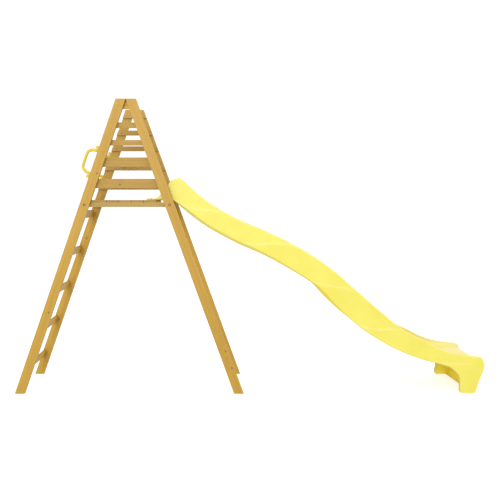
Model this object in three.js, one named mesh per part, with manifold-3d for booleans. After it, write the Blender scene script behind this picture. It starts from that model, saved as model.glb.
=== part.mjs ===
// A toddler slide: two timber A-frames with a platform between them, a five-rung ladder, guard boards,
// two plastic hand grips and a one-piece wavy plastic slide. Millimetres, +Z up.
// +X runs from the ladder to the slide's exit, Y runs across the tower, and the floor is z = 0.
import * as THREE from "three";
import { mergeVertices } from "three/addons/utils/BufferGeometryUtils.js";
import Module from "manifold-3d";

const wasm = await Module();
wasm.setup();

// ---------------------------------------------------------------- driving dimensions
const deckHeight = 1500; // top of the platform over the floor
const frameAboveDeck = 750; // from the platform to the flat top of the A-frames
const baseWidth = 1780; // over the feet of one A-frame
const frameWidth = 600; // over the outer faces of the two A-frames
const slideReach = 2429; // from the slide-side legs at platform height to the slide's far end

const legWidth = 70;
const legThickness = 35;
const boardThickness = 20; // guard boards, gussets and rungs
const narrowBoard = 40;
const wideBoard = 70;
const guardGap = 90; // between guard boards, and from the platform to the lowest one
const rungWidth = 60;
const rungCount = 5;
const rungDrop = 83; // top edge of the highest rung below the platform
const rungInset = 5; // from the legs' outer narrow faces to the rungs

const bearerHeight = 35;
const bearerDepth = 45;
const deckThickness = 18;
const deckBoards = 6;
const deckGap = 4;
const deckSetback = 131; // the platform stops this far short of the slide-side legs' outer edges

const fit = 0.3; // gap left between two touching pieces

const boltRadius = 4;
const boltHoleRadius = 4.4;
const boltHeadRadius = 10;
const boltHeadHeight = 4.5;
const boltThreadStandOut = 5; // bolt left showing past its nut
const nutRadius = 7.5;
const nutHeight = 7;
const nutSides = 6;

const screwRadius = 2.2;
const screwHoleRadius = 2.6;
const screwHeadRadius = 4.4;
const screwHeadHeight = 2.2;
const screwBite = 24; // length of screw held in the second piece
const roundSides = 12;
const headSteps = 3; // steps from the crown of a round head to its rim
const overcut = 1; // how far a hole's cutter runs past the face it leaves

const gripLength = 252; // over the two pads, along the leg
const gripStandOff = 81; // from the leg's edge to the outside of the bar
const gripBar = 23; // thickness of the bar
const gripAbovePlatform = 282; // middle of the grip over the platform
const gripSteps = 28;
const gripCurveSteps = 5;
const padLength = 48;
const padWidth = 33;
const padThickness = 7;
const padScrewOffset = 13; // from the pad's middle towards the grip's end

const slideSideClearance = 7; // each side, between the slide's top and the guard boards
const slideWall = 16; // thickness of the hollow-moulded side rails
const slideFloor = 13; // thickness of the chute's floor, measured straight down
const apronWall = 9; // thickness of the front apron
const slideFlange = 78; // flat part of the slide that lies on the platform
const floorLift = 42; // chute floor over the lower edge of the side rails
const floorSlip = 15; // and this far down the slope from it
const rimFlare = 12; // extra half-width of the chute's rim at its exit
const topDraft = 0.02; // outward lean of the side rails, at the top and at the foot
const footDraft = 0.125;

// ---------------------------------------------------------------- derived from them
const towerHeight = deckHeight + frameAboveDeck;
const halfBase = baseWidth / 2;
// The two legs' inner arrises meet at the top, so the lean follows from the width, height and leg section.
const diagonal = Math.hypot(halfBase, towerHeight);
const lean = Math.acos((legWidth + fit) / diagonal) - Math.atan2(towerHeight, halfBase);
const legCut = legWidth / Math.cos(lean); // a leg's width measured level
const legOuterX = (z) => halfBase - z * Math.tan(lean);
const legMiddleX = (z) => legOuterX(z) - legCut / 2;
const halfFrame = frameWidth / 2;
const legInnerY = halfFrame - legThickness;
const boardInnerY = legInnerY - fit - boardThickness;
const bearerTop = deckHeight - deckThickness - fit;
const bearerMiddle = bearerTop - bearerHeight / 2;
const rungPitch = deckHeight / rungCount;

// ---------------------------------------------------------------- materials
const paint = (color, roughness, metalness = 0) => ({ color, roughness, metalness });
const finishes = {
  legTimber: paint(0xcfa64a, 0.6),
  boardTimber: paint(0xc8aa69, 0.65),
  yellowSlide: paint(0xf8ee6a, 0.45),
  yellowGrip: paint(0xebd714, 0.35),
  zinc: paint(0xa8a8b0, 0.35, 0.9),
};

const tower = new THREE.Group();

function addPiece(name, geometry, finish) {
  const mesh = new THREE.Mesh(geometry, new THREE.MeshStandardMaterial(finishes[finish]));
  mesh.name = name;
  tower.add(mesh);
  return mesh;
}

// ---------------------------------------------------------------- solids
function toSolid(geometry) {
  const bare = geometry.clone();
  bare.deleteAttribute("normal");
  bare.deleteAttribute("uv");
  const merged = mergeVertices(bare, 1e-4);
  const mesh = new wasm.Mesh({
    numProp: 3,
    vertProperties: new Float32Array(merged.attributes.position.array),
    triVerts: new Uint32Array(merged.index.array),
  });
  return new wasm.Manifold(mesh);
}

function toGeometry(solid) {
  const mesh = solid.getMesh();
  const geometry = new THREE.BufferGeometry();
  geometry.setAttribute("position", new THREE.BufferAttribute(mesh.vertProperties, 3));
  geometry.setIndex(new THREE.BufferAttribute(mesh.triVerts, 1));
  const faceted = geometry.toNonIndexed();
  faceted.computeVertexNormals();
  return faceted;
}

function cut(geometry, holes) {
  const cutters = holes.map(toSolid);
  return toGeometry(cutters.reduce((left, hole) => left.subtract(hole), toSolid(geometry)));
}

function join(geometries) {
  const solids = geometries.map(toSolid);
  return toGeometry(solids.reduce((whole, solid) => whole.add(solid)));
}

// A plank drawn by its outline in the X-Z plane, from yLow to yHigh across the tower.
function plank(outline, yLow, yHigh) {
  const shape = new THREE.Shape(outline.map(([x, z]) => new THREE.Vector2(x, z)));
  const geometry = new THREE.ExtrudeGeometry(shape, { depth: yHigh - yLow, bevelEnabled: false });
  geometry.rotateX(Math.PI / 2);
  geometry.translate(0, yHigh, 0);
  return geometry;
}

// A round rod from one point to another, for holes.
function rod(from, to, radius) {
  const span = new THREE.Vector3().subVectors(to, from);
  const geometry = new THREE.CylinderGeometry(radius, radius, span.length(), roundSides);
  const turn = new THREE.Quaternion().setFromUnitVectors(
    new THREE.Vector3(0, 1, 0),
    span.clone().normalize(),
  );
  geometry.applyQuaternion(turn);
  const middle = new THREE.Vector3().addVectors(from, to).multiplyScalar(0.5);
  geometry.translate(middle.x, middle.y, middle.z);
  return geometry;
}

// A fastener turned about its axis: profile points are [radius, distance behind the head's seat].
// It is seated at a point, with its shank running along a direction.
function turned(profile, seat, direction) {
  const points = profile.map(([radius, along]) => new THREE.Vector2(radius, along));
  const geometry = new THREE.LatheGeometry(points, roundSides);
  const turn = new THREE.Quaternion().setFromUnitVectors(
    new THREE.Vector3(0, 1, 0),
    direction.clone().normalize(),
  );
  geometry.applyQuaternion(turn);
  geometry.translate(seat.x, seat.y, seat.z);
  return geometry;
}

function domeHead(headRadius, headHeight, shankRadius, shankLength) {
  const dome = Array.from({ length: headSteps + 1 }, (_, step) => {
    const angle = ((step / headSteps) * Math.PI) / 2;
    return [headRadius * Math.sin(angle), -headHeight * Math.cos(angle)];
  });
  return [
    ...dome,
    [shankRadius, 0],
    [shankRadius, shankLength],
    [0, shankLength],
  ];
}

// ---------------------------------------------------------------- fastener places
const sides = [
  { name: "near", y: -1 },
  { name: "far", y: 1 },
];
const ends = [
  { name: "ladder", x: -1 },
  { name: "slide", x: 1 },
];

// Guard boards from the lowest up: width, and bottom edge over the platform.
const guardWidths = [wideBoard, wideBoard, narrowBoard, narrowBoard];
const guards = [];
let nextBottom = deckHeight + guardGap;
for (const width of guardWidths) {
  guards.push({ bottom: nextBottom, top: nextBottom + width, middle: nextBottom + width / 2 });
  nextBottom += width + guardGap;
}
const gusset = { bottom: towerHeight - wideBoard, top: towerHeight };

const gripMiddle = deckHeight + gripAbovePlatform;
const padOffset = gripLength / 2 - padLength / 2;
const legAlong = new THREE.Vector3(Math.sin(lean), 0, Math.cos(lean)); // up a ladder-side leg
const legOutward = new THREE.Vector3(-Math.cos(lean), 0, Math.sin(lean)); // out of its narrow outer face
const ladderEdge = (z, y) => new THREE.Vector3(-legOuterX(z), y, z);

function padSeat(side, turn, offset = 0) {
  const middle = ladderEdge(gripMiddle, side.y * (halfFrame - legThickness / 2));
  return middle.addScaledVector(legAlong, turn * (padOffset + offset));
}

// ---------------------------------------------------------------- A-frames
function legHoles(side, end) {
  const holes = [];
  const through = (z, radius, depth) => {
    const x = end.x * legMiddleX(z);
    const inner = new THREE.Vector3(x, side.y * (legInnerY - overcut), z);
    const outer = new THREE.Vector3(x, side.y * (legInnerY + depth), z);
    holes.push(rod(inner, outer, radius));
  };
  through(bearerMiddle, boltHoleRadius, legThickness + overcut);
  for (const guard of guards) through(guard.middle, screwHoleRadius, screwBite + overcut);
  if (end.name === "ladder") {
    for (const turn of [-1, 1]) {
      const mouth = padSeat(side, turn, padScrewOffset).addScaledVector(legOutward, overcut);
      const bottom = mouth.clone().addScaledVector(legOutward, -(screwBite + 2 * overcut));
      holes.push(rod(bottom, mouth, screwHoleRadius));
    }
  }
  return holes;
}

function makeLeg(side, end) {
  const outline = [
    [end.x * halfBase, 0],
    [end.x * (halfBase - legCut), 0],
    [end.x * (legOuterX(towerHeight) - legCut), towerHeight],
    [end.x * legOuterX(towerHeight), towerHeight],
  ];
  if (end.x > 0) outline.reverse();
  const low = Math.min(side.y * legInnerY, side.y * halfFrame);
  const leg = plank(outline, low, low + legThickness);
  addPiece(`leg_${side.name}_${end.name}`, cut(leg, legHoles(side, end)), "legTimber");
}

// A board on the inner side of an A-frame, its ends cut flush with the legs' outer edges.
function crossBoard(bottom, top, side, depth) {
  const outline = [
    [-legOuterX(bottom), bottom],
    [legOuterX(bottom), bottom],
    [legOuterX(top), top],
    [-legOuterX(top), top],
  ];
  const outerY = legInnerY - fit;
  const low = Math.min(side.y * outerY, side.y * (outerY - depth));
  return plank(outline, low, low + depth);
}

function makeGuards(side) {
  guards.forEach((guard, index) => {
    const holes = ends.map((end) => {
      const x = end.x * legMiddleX(guard.middle);
      const from = new THREE.Vector3(x, side.y * (boardInnerY - overcut), guard.middle);
      const to = new THREE.Vector3(x, side.y * (legInnerY + overcut), guard.middle);
      return rod(from, to, screwHoleRadius);
    });
    const board = crossBoard(guard.bottom, guard.top, side, boardThickness);
    addPiece(`guard_board_${side.name}_${index + 1}`, cut(board, holes), "boardTimber");
  });
  const top = crossBoard(gusset.bottom, gusset.top, side, boardThickness);
  addPiece(`gusset_${side.name}`, top, "boardTimber");
}

// One screw at each crossing of a guard board and a leg, driven from inside the tower.
const screwProfile = domeHead(
  screwHeadRadius,
  screwHeadHeight,
  screwRadius,
  boardThickness + screwBite,
);
function makeGuardScrews(side, end) {
  guards.forEach((guard, index) => {
    const x = end.x * legMiddleX(guard.middle);
    const seat = new THREE.Vector3(x, side.y * (boardInnerY - fit), guard.middle);
    const screw = turned(screwProfile, seat, new THREE.Vector3(0, side.y, 0));
    addPiece(`guard_screw_${side.name}_${end.name}_${index + 1}`, screw, "zinc");
  });
}

// ---------------------------------------------------------------- platform
function makeBearer(side) {
  const holes = ends.map((end) => {
    const x = end.x * legMiddleX(bearerMiddle);
    const from = new THREE.Vector3(x, side.y * (legInnerY + overcut), bearerMiddle);
    const to = new THREE.Vector3(x, side.y * (legInnerY - fit - bearerDepth - overcut), bearerMiddle);
    return rod(from, to, boltHoleRadius);
  });
  const bearer = crossBoard(bearerTop - bearerHeight, bearerTop, side, bearerDepth);
  addPiece(`bearer_${side.name}`, cut(bearer, holes), "boardTimber");
}

const boltGrip = legThickness + fit + bearerDepth + fit; // from head to nut
function makeBolt(side, end) {
  const x = end.x * legMiddleX(bearerMiddle);
  const inward = new THREE.Vector3(0, -side.y, 0);
  const shank = boltGrip + fit + nutHeight + boltThreadStandOut;
  const head = new THREE.Vector3(x, side.y * (halfFrame + fit), bearerMiddle);
  const profile = domeHead(boltHeadRadius, boltHeadHeight, boltRadius, shank);
  addPiece(`bearer_bolt_${side.name}_${end.name}`, turned(profile, head, inward), "zinc");

  const nutSeat = new THREE.Vector3(x, side.y * (halfFrame - boltGrip - fit), bearerMiddle);
  const corners = Array.from({ length: nutSides }, (_, corner) => {
    const angle = (2 * Math.PI * corner) / nutSides;
    return new THREE.Vector2(nutRadius * Math.cos(angle), nutRadius * Math.sin(angle));
  });
  const nutShape = new THREE.Shape(corners);
  const bore = new THREE.Path();
  bore.absarc(0, 0, boltRadius + fit, 0, 2 * Math.PI, true);
  nutShape.holes.push(bore);
  const nut = new THREE.ExtrudeGeometry(nutShape, {
    depth: nutHeight,
    bevelEnabled: false,
    curveSegments: roundSides / 2,
  });
  nut.rotateX(side.y * (Math.PI / 2));
  nut.translate(nutSeat.x, nutSeat.y, nutSeat.z);
  addPiece(`bearer_nut_${side.name}_${end.name}`, nut, "zinc");
}

const deckFrom = -legOuterX(deckHeight);
const deckTo = legOuterX(deckHeight) - deckSetback;
const deckPitch = (deckTo - deckFrom + deckGap) / deckBoards;
const flangeScrewX = deckTo - (deckPitch - deckGap) / 2;
const flangeScrewY = 150;
const flangeScrewShort = 2; // its point stops this far above the board's underside

function makeDeck() {
  const halfLength = legInnerY - fit;
  for (let index = 0; index < deckBoards; index++) {
    const low = deckFrom + index * deckPitch;
    const high = low + deckPitch - deckGap;
    const outline = [
      [low, deckHeight - deckThickness],
      [high, deckHeight - deckThickness],
      [high, deckHeight],
      [low, deckHeight],
    ];
    const board = plank(outline, -halfLength, halfLength);
    const holes = index < deckBoards - 1 ? [] : flangeHoles(deckHeight - deckThickness - overcut);
    addPiece(`deck_board_${index + 1}`, holes.length ? cut(board, holes) : board, "boardTimber");
  }
}

function flangeHoles(bottom) {
  return sides.map(({ y }) => {
    const from = new THREE.Vector3(flangeScrewX, y * flangeScrewY, bottom);
    const to = new THREE.Vector3(flangeScrewX, y * flangeScrewY, flangeTop + overcut);
    return rod(from, to, screwHoleRadius);
  });
}

// ---------------------------------------------------------------- ladder
function makeRungs() {
  const halfLength = legInnerY - fit;
  for (let index = 0; index < rungCount; index++) {
    // The rung's faces lie parallel to the leg's narrow faces, close to the outer one.
    const topZ = (index + 1) * rungPitch - rungDrop;
    const middleX = legOuterX(topZ) - (rungInset + boardThickness / 2) / Math.cos(lean);
    const top = new THREE.Vector3(-middleX, 0, topZ);
    const corners = [
      [0, -boardThickness / 2],
      [-rungWidth, -boardThickness / 2],
      [-rungWidth, boardThickness / 2],
      [0, boardThickness / 2],
    ].map(([along, out]) => {
      const point = top.clone().addScaledVector(legAlong, along).addScaledVector(legOutward, out);
      return [point.x, point.z];
    });
    addPiece(`rung_${index + 1}`, plank(corners.reverse(), -halfLength, halfLength), "boardTimber");
  }
}

// ---------------------------------------------------------------- hand grips
function makeGrip(side) {
  const barMiddle = gripStandOff - gripBar / 2;
  const reach = gripLength / 2 - padLength + gripBar / 2; // from the grip's middle to the bar's foot
  const shoulder = { along: 0.78 * reach, out: 0.93 * barMiddle }; // where the bar turns back to the leg
  const straight = 0.4 * reach; // half the straight part of the bar
  const middle = ladderEdge(gripMiddle, side.y * (halfFrame - legThickness / 2));
  const at = (along, out) =>
    middle.clone().addScaledVector(legAlong, along).addScaledVector(legOutward, out);
  const route = new THREE.CatmullRomCurve3([
    at(-reach, padThickness / 2),
    at(-reach, barMiddle / 2),
    at(-shoulder.along, shoulder.out),
    at(-straight, barMiddle),
    at(straight, barMiddle),
    at(shoulder.along, shoulder.out),
    at(reach, barMiddle / 2),
    at(reach, padThickness / 2),
  ]);
  const section = new THREE.Shape();
  section.absellipse(0, 0, gripBar / 2, gripBar / 2, 0, 2 * Math.PI);
  const bar = new THREE.ExtrudeGeometry(section, {
    steps: gripSteps,
    extrudePath: route,
    curveSegments: gripCurveSteps,
    bevelEnabled: false,
  });
  const pads = [-1, 1].map((turn) => {
    const pad = new THREE.BoxGeometry(padThickness, padWidth, padLength);
    pad.rotateY(lean);
    const seat = padSeat(side, turn).addScaledVector(legOutward, fit + padThickness / 2);
    pad.translate(seat.x, seat.y, seat.z);
    return pad;
  });
  const holes = [-1, 1].map((turn) => {
    const from = padSeat(side, turn, padScrewOffset).addScaledVector(legOutward, -overcut);
    const to = from.clone().addScaledVector(legOutward, fit + padThickness + 2 * overcut);
    return rod(from, to, screwHoleRadius);
  });
  addPiece(`hand_grip_${side.name}`, cut(join([bar, ...pads]), holes), "yellowGrip");
}

function makeGripScrews(side) {
  [-1, 1].forEach((turn, index) => {
    const seat = padSeat(side, turn, padScrewOffset);
    seat.addScaledVector(legOutward, 2 * fit + padThickness);
    const profile = domeHead(
      screwHeadRadius,
      screwHeadHeight,
      screwRadius,
      padThickness + screwBite,
    );
    const screw = turned(profile, seat, legOutward.clone().negate());
    addPiece(`grip_screw_${side.name}_${index + 1}`, screw, "zinc");
  });
}

// ---------------------------------------------------------------- slide
// Heights and distances of the slide's outlines as drawn for a platform this high and this reach.
// Each point is [distance past the slide-side legs at platform height, drop below the platform].
const drawnDrop = 1500;
const drawnReach = 2429;
const slideStart = legOuterX(deckHeight);
const reachScale = slideReach / drawnReach;
// The part over the platform keeps its length whatever the reach, because its screws stand there.
const alongX = (distance) => slideStart + distance * (distance < 0 ? 1 : reachScale);
const atZ = (drop) => deckHeight + fit - (drop * (deckHeight + fit)) / drawnDrop;

const railStart = -126; // where the flange ends and the side rails begin
// The rim climbs from the flange to a round crown and follows the waves down to the exit.
const rimPoints = [
  [railStart, -8],
  [-98, -42],
  [-66, -84],
  [-38, -120],
  [-10, -150],
  [33, -166],
  [68, -158],
  [134, -97],
  [225, -18],
  [317, 46],
  [500, 148],
  [684, 226],
  [869, 310],
  [1055, 415],
  [1242, 545],
  [1431, 708],
  [1621, 872],
  [1796, 1011],
  [1978, 1101],
  [2079, 1152],
  [2179, 1188],
  [2280, 1208],
  [2381, 1218],
];
// The exit's round nose and the front of the foot, down to its rounded corner on the floor.
const nosePoints = [
  [2381, 1218],
  [2413, 1238],
  [2429, 1281],
  [2421, 1318],
  [2383, 1416],
  [2365, 1470],
  [2358, 1491],
  [2342, 1500],
];
// The foot's back corner, and its arch up to the lower edge of the side rails.
const archPoints = [
  [2250, 1500],
  [2234, 1492],
  [2227, 1470],
  [2231, 1410],
  [2222, 1368],
  [2195, 1334],
  [2150, 1301],
  [2100, 1284],
  [2040, 1267],
];
// The lower edge of the side rails, from the foot back up to the platform.
const lowerPoints = [
  [2040, 1267],
  [1906, 1229],
  [1717, 1151],
  [1528, 1042],
  [1433, 973],
  [1338, 892],
  [1244, 802],
  [1150, 701],
  [1056, 628],
  [870, 515],
  [685, 416],
  [500, 336],
  [317, 239],
  [225, 181],
  [134, 114],
  [43, 38],
  [6, 12],
  [-26, 0],
  [railStart, 0],
];
// The chute's floor: flat on the platform, then over the edge, and its level last stretch.
const entryPoints = [
  [railStart - slideFlange, -slideFloor],
  [-60, -slideFloor],
  [-10, -8],
];
const exitPoints = [
  [2200, 1246],
  [2300, 1243],
  [2376, 1238],
];
// The exit's rolled lip, set back from the rails' nose, and the apron below it, which stops just clear
// of the floor.
const apronPoints = [
  [2376, 1238],
  [2399, 1254],
  [2409, 1284],
  [2403, 1322],
  [2383, 1416],
  [2365, 1470],
  [2358, 1491],
];

const flangeTop = atZ(-slideFloor);

// A smooth line through outline points, with a few steps between each two.
function smooth(points, steps) {
  const curve = new THREE.SplineCurve(points.map(([x, z]) => new THREE.Vector2(x, z)));
  return curve.getPoints((points.length - 1) * steps).map((point) => [point.x, point.y]);
}
const rimLine = smooth(rimPoints, 2);
const lowerLine = smooth(lowerPoints, 2);

function heightOn(line, distance) {
  const sorted = [...line].sort((one, other) => one[0] - other[0]);
  if (distance <= sorted[0][0]) return sorted[0][1];
  for (let index = 1; index < sorted.length; index++) {
    const [x0, z0] = sorted[index - 1];
    const [x1, z1] = sorted[index];
    if (distance <= x1) return z0 + ((z1 - z0) * (distance - x0)) / (x1 - x0 || 1);
  }
  return sorted[sorted.length - 1][1];
}

// Half the slide's width at a point of its side: it widens to the exit, and leans out towards its foot.
const topHalfWidth = boardInnerY - slideSideClearance;
function halfWidth(distance, drop) {
  const share = Math.min(1, Math.max(0, distance / drawnReach));
  const draft = topDraft + (footDraft - topDraft) * share ** 3;
  const below = Math.max(0, drop - heightOn(rimLine, distance));
  return topHalfWidth + rimFlare * share + draft * below;
}

// An outline in drawn units, made a slab whose faces follow the slide's width, moved inward by an inset.
function slideSlab(points, faceOf) {
  const shape = new THREE.Shape(points.map(([x, drop]) => new THREE.Vector2(x, -drop)));
  const geometry = new THREE.ExtrudeGeometry(shape, { depth: 1, bevelEnabled: false });
  const position = geometry.attributes.position;
  for (let index = 0; index < position.count; index++) {
    const distance = position.getX(index);
    const drop = -position.getY(index);
    const y = faceOf(position.getZ(index) > 0.5, distance, drop);
    position.setXYZ(index, alongX(distance), y, atZ(drop));
  }
  return geometry;
}

function makeSlide() {
  const outline = [
    ...rimLine,
    ...smooth(nosePoints, 2).slice(1),
    ...smooth(archPoints, 2),
    ...lowerLine.slice(1, -1),
  ].reverse();
  // The extrusion's far end becomes the lower-Y face, so that every face still points outward.
  const rails = sides.map(({ y }) =>
    slideSlab(outline, (end, distance, drop) => {
      const outer = y * halfWidth(distance, drop);
      const inner = outer - y * slideWall;
      return end ? Math.min(outer, inner) : Math.max(outer, inner);
    }),
  );

  // The chute's floor keeps its height over the rails' lower edge between its entry and its exit.
  const entryEnd = entryPoints[entryPoints.length - 1][0];
  const waves = lowerPoints
    .filter(([x]) => x > entryEnd + floorLift)
    .reverse()
    .map(([x, drop]) => [x + floorSlip, drop - floorLift]);
  const floorTop = smooth([...entryPoints, ...waves, ...exitPoints], 2);
  const floorUnder = floorTop.map(([x, drop]) => [x, drop + slideFloor]).reverse();
  const apron = smooth(apronPoints, 2).slice(1);
  const apronTop = apronPoints[0][1] + slideFloor;
  const apronInside = apron
    .map(([x, drop]) => [x - apronWall, Math.max(drop, apronTop)])
    .reverse();
  const ribbon = [...floorTop, ...apron, ...apronInside, ...floorUnder.slice(1)];
  const chute = slideSlab(ribbon.reverse(), (end, distance, drop) => {
    const edge = halfWidth(distance, drop) - slideWall / 2;
    return end ? -edge : edge;
  });
  const slide = cut(join([...rails, chute]), flangeHoles(deckHeight - overcut));
  addPiece("slide", slide, "yellowSlide");
}

function makeFlangeScrews() {
  for (const side of sides) {
    const seat = new THREE.Vector3(flangeScrewX, side.y * flangeScrewY, flangeTop + fit);
    const profile = domeHead(
      screwHeadRadius,
      screwHeadHeight,
      screwRadius,
      flangeTop - deckHeight + deckThickness - flangeScrewShort,
    );
    const screw = turned(profile, seat, new THREE.Vector3(0, 0, -1));
    addPiece(`flange_screw_${side.name}`, screw, "zinc");
  }
}

// ---------------------------------------------------------------- the whole object
for (const side of sides) {
  for (const end of ends) {
    makeLeg(side, end);
    makeBolt(side, end);
    makeGuardScrews(side, end);
  }
  makeGuards(side);
  makeBearer(side);
  makeGrip(side);
  makeGripScrews(side);
}
makeDeck();
makeRungs();
makeSlide();
makeFlangeScrews();

// The origin is the middle of the whole footprint, on the floor.
const footprint = new THREE.Box3().setFromObject(tower);
tower.position.x = -(footprint.min.x + footprint.max.x) / 2;
const slideSet = new THREE.Group();
slideSet.add(tower);

export default slideSet;
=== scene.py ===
# %% [markdown]
# # A toddler slide in timber and moulded plastic
# The real object is a bolted play structure that stands in a garden: two A-frames of pine planks with a
# platform between them, a ladder up one side and a one-piece plastic slide down the other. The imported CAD
# model fixes where every piece is and how large it is. This lesson loads it as a frame that never moves,
# then builds a finished piece for each CAD node: planks with rounded arrises and grain, real screw heads,
# and a slide whose walls have a rolled rim.

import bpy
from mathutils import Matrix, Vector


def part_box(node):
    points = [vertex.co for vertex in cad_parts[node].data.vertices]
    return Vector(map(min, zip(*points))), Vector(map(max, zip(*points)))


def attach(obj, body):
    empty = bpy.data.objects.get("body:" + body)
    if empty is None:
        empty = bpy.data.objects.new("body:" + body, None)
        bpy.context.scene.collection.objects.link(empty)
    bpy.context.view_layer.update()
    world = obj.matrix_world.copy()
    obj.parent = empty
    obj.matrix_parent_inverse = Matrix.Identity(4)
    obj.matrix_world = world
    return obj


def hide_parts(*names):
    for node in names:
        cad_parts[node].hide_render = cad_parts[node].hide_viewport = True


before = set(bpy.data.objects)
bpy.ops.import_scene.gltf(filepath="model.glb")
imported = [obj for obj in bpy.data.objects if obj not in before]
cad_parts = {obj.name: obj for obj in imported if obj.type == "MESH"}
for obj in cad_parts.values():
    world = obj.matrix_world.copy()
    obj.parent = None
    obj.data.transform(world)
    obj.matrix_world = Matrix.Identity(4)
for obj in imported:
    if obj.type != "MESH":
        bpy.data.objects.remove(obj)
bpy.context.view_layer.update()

# %% Modules used below
import math
import random

import bmesh
import bpy
import numpy as np
from mathutils import Vector

SIDES = {"near": -1, "far": 1}
ENDS = ("ladder", "slide")
MM = 0.001

# %% [markdown]
# ## The camera
# A catalogue picture of garden furniture is taken square on from a few metres away, with the camera a
# little above the middle of the object and tilted down a few degrees. The focal length could be chosen by
# eye; here the place, tilt and lens were worked out from the sizes of the frames, so that the far A-frame
# falls inside the near one by the right amount. A small lens shift frames the object, as a view camera's
# does.

# %% Camera
SENSOR_WIDTH, FOCAL_LENGTH = 36, 44.28
LENS_SHIFT = (0.0808, 0.024)
CAMERA_PLACE = (-0.3178, -4.9638, 1.4688)
DEGREES_DOWN = 5.377
camera_data = bpy.data.cameras.new("studio_camera")
camera_data.sensor_width = SENSOR_WIDTH
camera_data.lens = FOCAL_LENGTH
camera_data.shift_x, camera_data.shift_y = LENS_SHIFT
camera = bpy.data.objects.new("studio_camera", camera_data)
camera.location = CAMERA_PLACE
camera.rotation_euler = (math.radians(90 - DEGREES_DOWN), 0, 0)
bpy.context.scene.collection.objects.link(camera)
bpy.context.scene.camera = camera
print("camera", tuple(round(v, 3) for v in camera.location))

# %% [markdown]
# ## Helpers for node trees
# Materials and Geometry Nodes trees are both graphs. They could be written out node by node and link by
# link. A short helper that makes one node, sets its plain values and links its sockets keeps each graph
# readable as a list of steps, from the first node to the last.

# %% Make a node, or a whole material
def feed(tree, node, inputs):
    """Links each socket that is given another node's output, and sets the others to plain values."""
    for socket, value in inputs.items():
        if isinstance(value, bpy.types.NodeSocket):
            tree.links.new(value, node.inputs[socket])
        else:
            node.inputs[socket].default_value = value


def add_node(tree, kind, inputs=None, **settings):
    made = tree.nodes.new(kind)
    for key, value in settings.items():
        setattr(made, key, value)
    feed(tree, made, inputs or {})
    return made


def calculate(tree, operation, *values):
    return add_node(tree, "ShaderNodeMath", dict(enumerate(values)), operation=operation).outputs[0]


def times(tree, one, other):
    return calculate(tree, "MULTIPLY", one, other)


def scaled(tree, value, factor, offset):
    """A value times a factor, plus an offset."""
    return calculate(tree, "MULTIPLY_ADD", value, factor, offset)


def linear(red, green, blue):
    """A colour picked on a 0 to 255 screen scale, as the linear light that shaders work in."""
    def one(value):
        share = value / 255
        return share / 12.92 if share <= 0.04045 else ((share + 0.055) / 1.055) ** 2.4
    return (one(red), one(green), one(blue), 1)


def new_material(name):
    material = bpy.data.materials.new(name)
    material.use_nodes = True
    tree = material.node_tree
    return material, tree, tree.nodes["Principled BSDF"]


def mix_colour(tree, factor, one, other, blend="MIX"):
    """A colour mix. A mix node has inputs for numbers and vectors too; 6 and 7 are its colours."""
    made = add_node(tree, "ShaderNodeMix", {"Factor": factor}, data_type="RGBA", blend_type=blend)
    feed(tree, made, {6: one, 7: other})
    return made.outputs[2]


def tint(tree, colour, share, strength, other):
    """Mixes another colour in where a share is high, at most to a strength."""
    return mix_colour(tree, times(tree, share, strength), colour, other)


def fade(tree, value, start, end, low=0.0, high=1.0):
    """A smooth step from low at start to high at end."""
    inputs = {"Value": value, "From Min": start, "From Max": end, "To Min": low, "To Max": high}
    return add_node(tree, "ShaderNodeMapRange", inputs, interpolation_type="SMOOTHSTEP").outputs[0]


def vector_math(tree, operation, *values):
    return add_node(tree, "ShaderNodeVectorMath", dict(enumerate(values)), operation=operation).outputs


def stretched_noise(tree, place, per_metre, detail=2.0):
    """Noise between 0 and 1, with a number of grains to the metre along each axis."""
    mapped = vector_math(tree, "MULTIPLY", place, per_metre)[0]
    inputs = {"Vector": mapped, "Scale": 1.0, "Detail": detail}
    return add_node(tree, "ShaderNodeTexNoise", inputs).outputs["Fac"]


def mark(tree, name, output="Fac"):
    """An attribute that the mesh carries, read in a material."""
    return add_node(tree, "ShaderNodeAttribute", attribute_name=name).outputs[output]


def object_place(tree):
    return add_node(tree, "ShaderNodeTexCoord").outputs["Object"]


def surface(tree, shader, colour, rough, relief, strength, depth):
    """Gives a shader its colour, its roughness and a bump of a strength and a depth in metres."""
    bump = add_node(tree, "ShaderNodeBump", {"Height": relief, "Strength": strength, "Distance": depth})
    feed(tree, shader, {"Base Color": colour, "Roughness": rough, "Normal": bump.outputs[0]})


print("helpers ready")

# %% [markdown]
# ## Pine timber
# The frame is planed softwood with a honey stain. Plain-sawn pine shows wide growth rings as long arches,
# fine fibres along the length, and a few knots round which the rings flow. It could be a picture wrapped
# on each board; a solid pattern is better, because the end grain then agrees with the faces. The pattern
# reads an attribute called `grain`, which gives each point's place along, across and through its own
# plank, so that the grain always runs with the plank however it leans. Rings are circles round a heart
# that lies outside the plank. `knot_1` and `knot_2` give the way from a knot, `arris` marks the rounded
# edges, which wear paler, and a tone attribute makes each board a little lighter or darker than the next
# at random; it also carries painted light, which makes the boards that stand in shade paler. `lie` is
# the plank's own direction: a face that looks along it is end grain, which soaks up more stain.

# %% The timber material
RING_SPACING = 0.0046
KNOT_RADIUS, KNOT_REACH, KNOT_PUSH = 0.0048, 0.034, 0.016
KNOT_SHAPE = (0.72, 1.0, 0.0)
KNOT_RIM = linear(70, 38, 14)
END_GRAIN_TINT = (0.78, 0.7, 0.58, 1)
WORN_TIMBER = linear(182, 152, 84)


def knot_distance(tree, name):
    """How far a point is from a knot, which is drawn out a little along the grain."""
    oval = vector_math(tree, "MULTIPLY", mark(tree, name, "Vector"), KNOT_SHAPE)[0]
    return vector_math(tree, "LENGTH", oval)["Value"]


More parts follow.
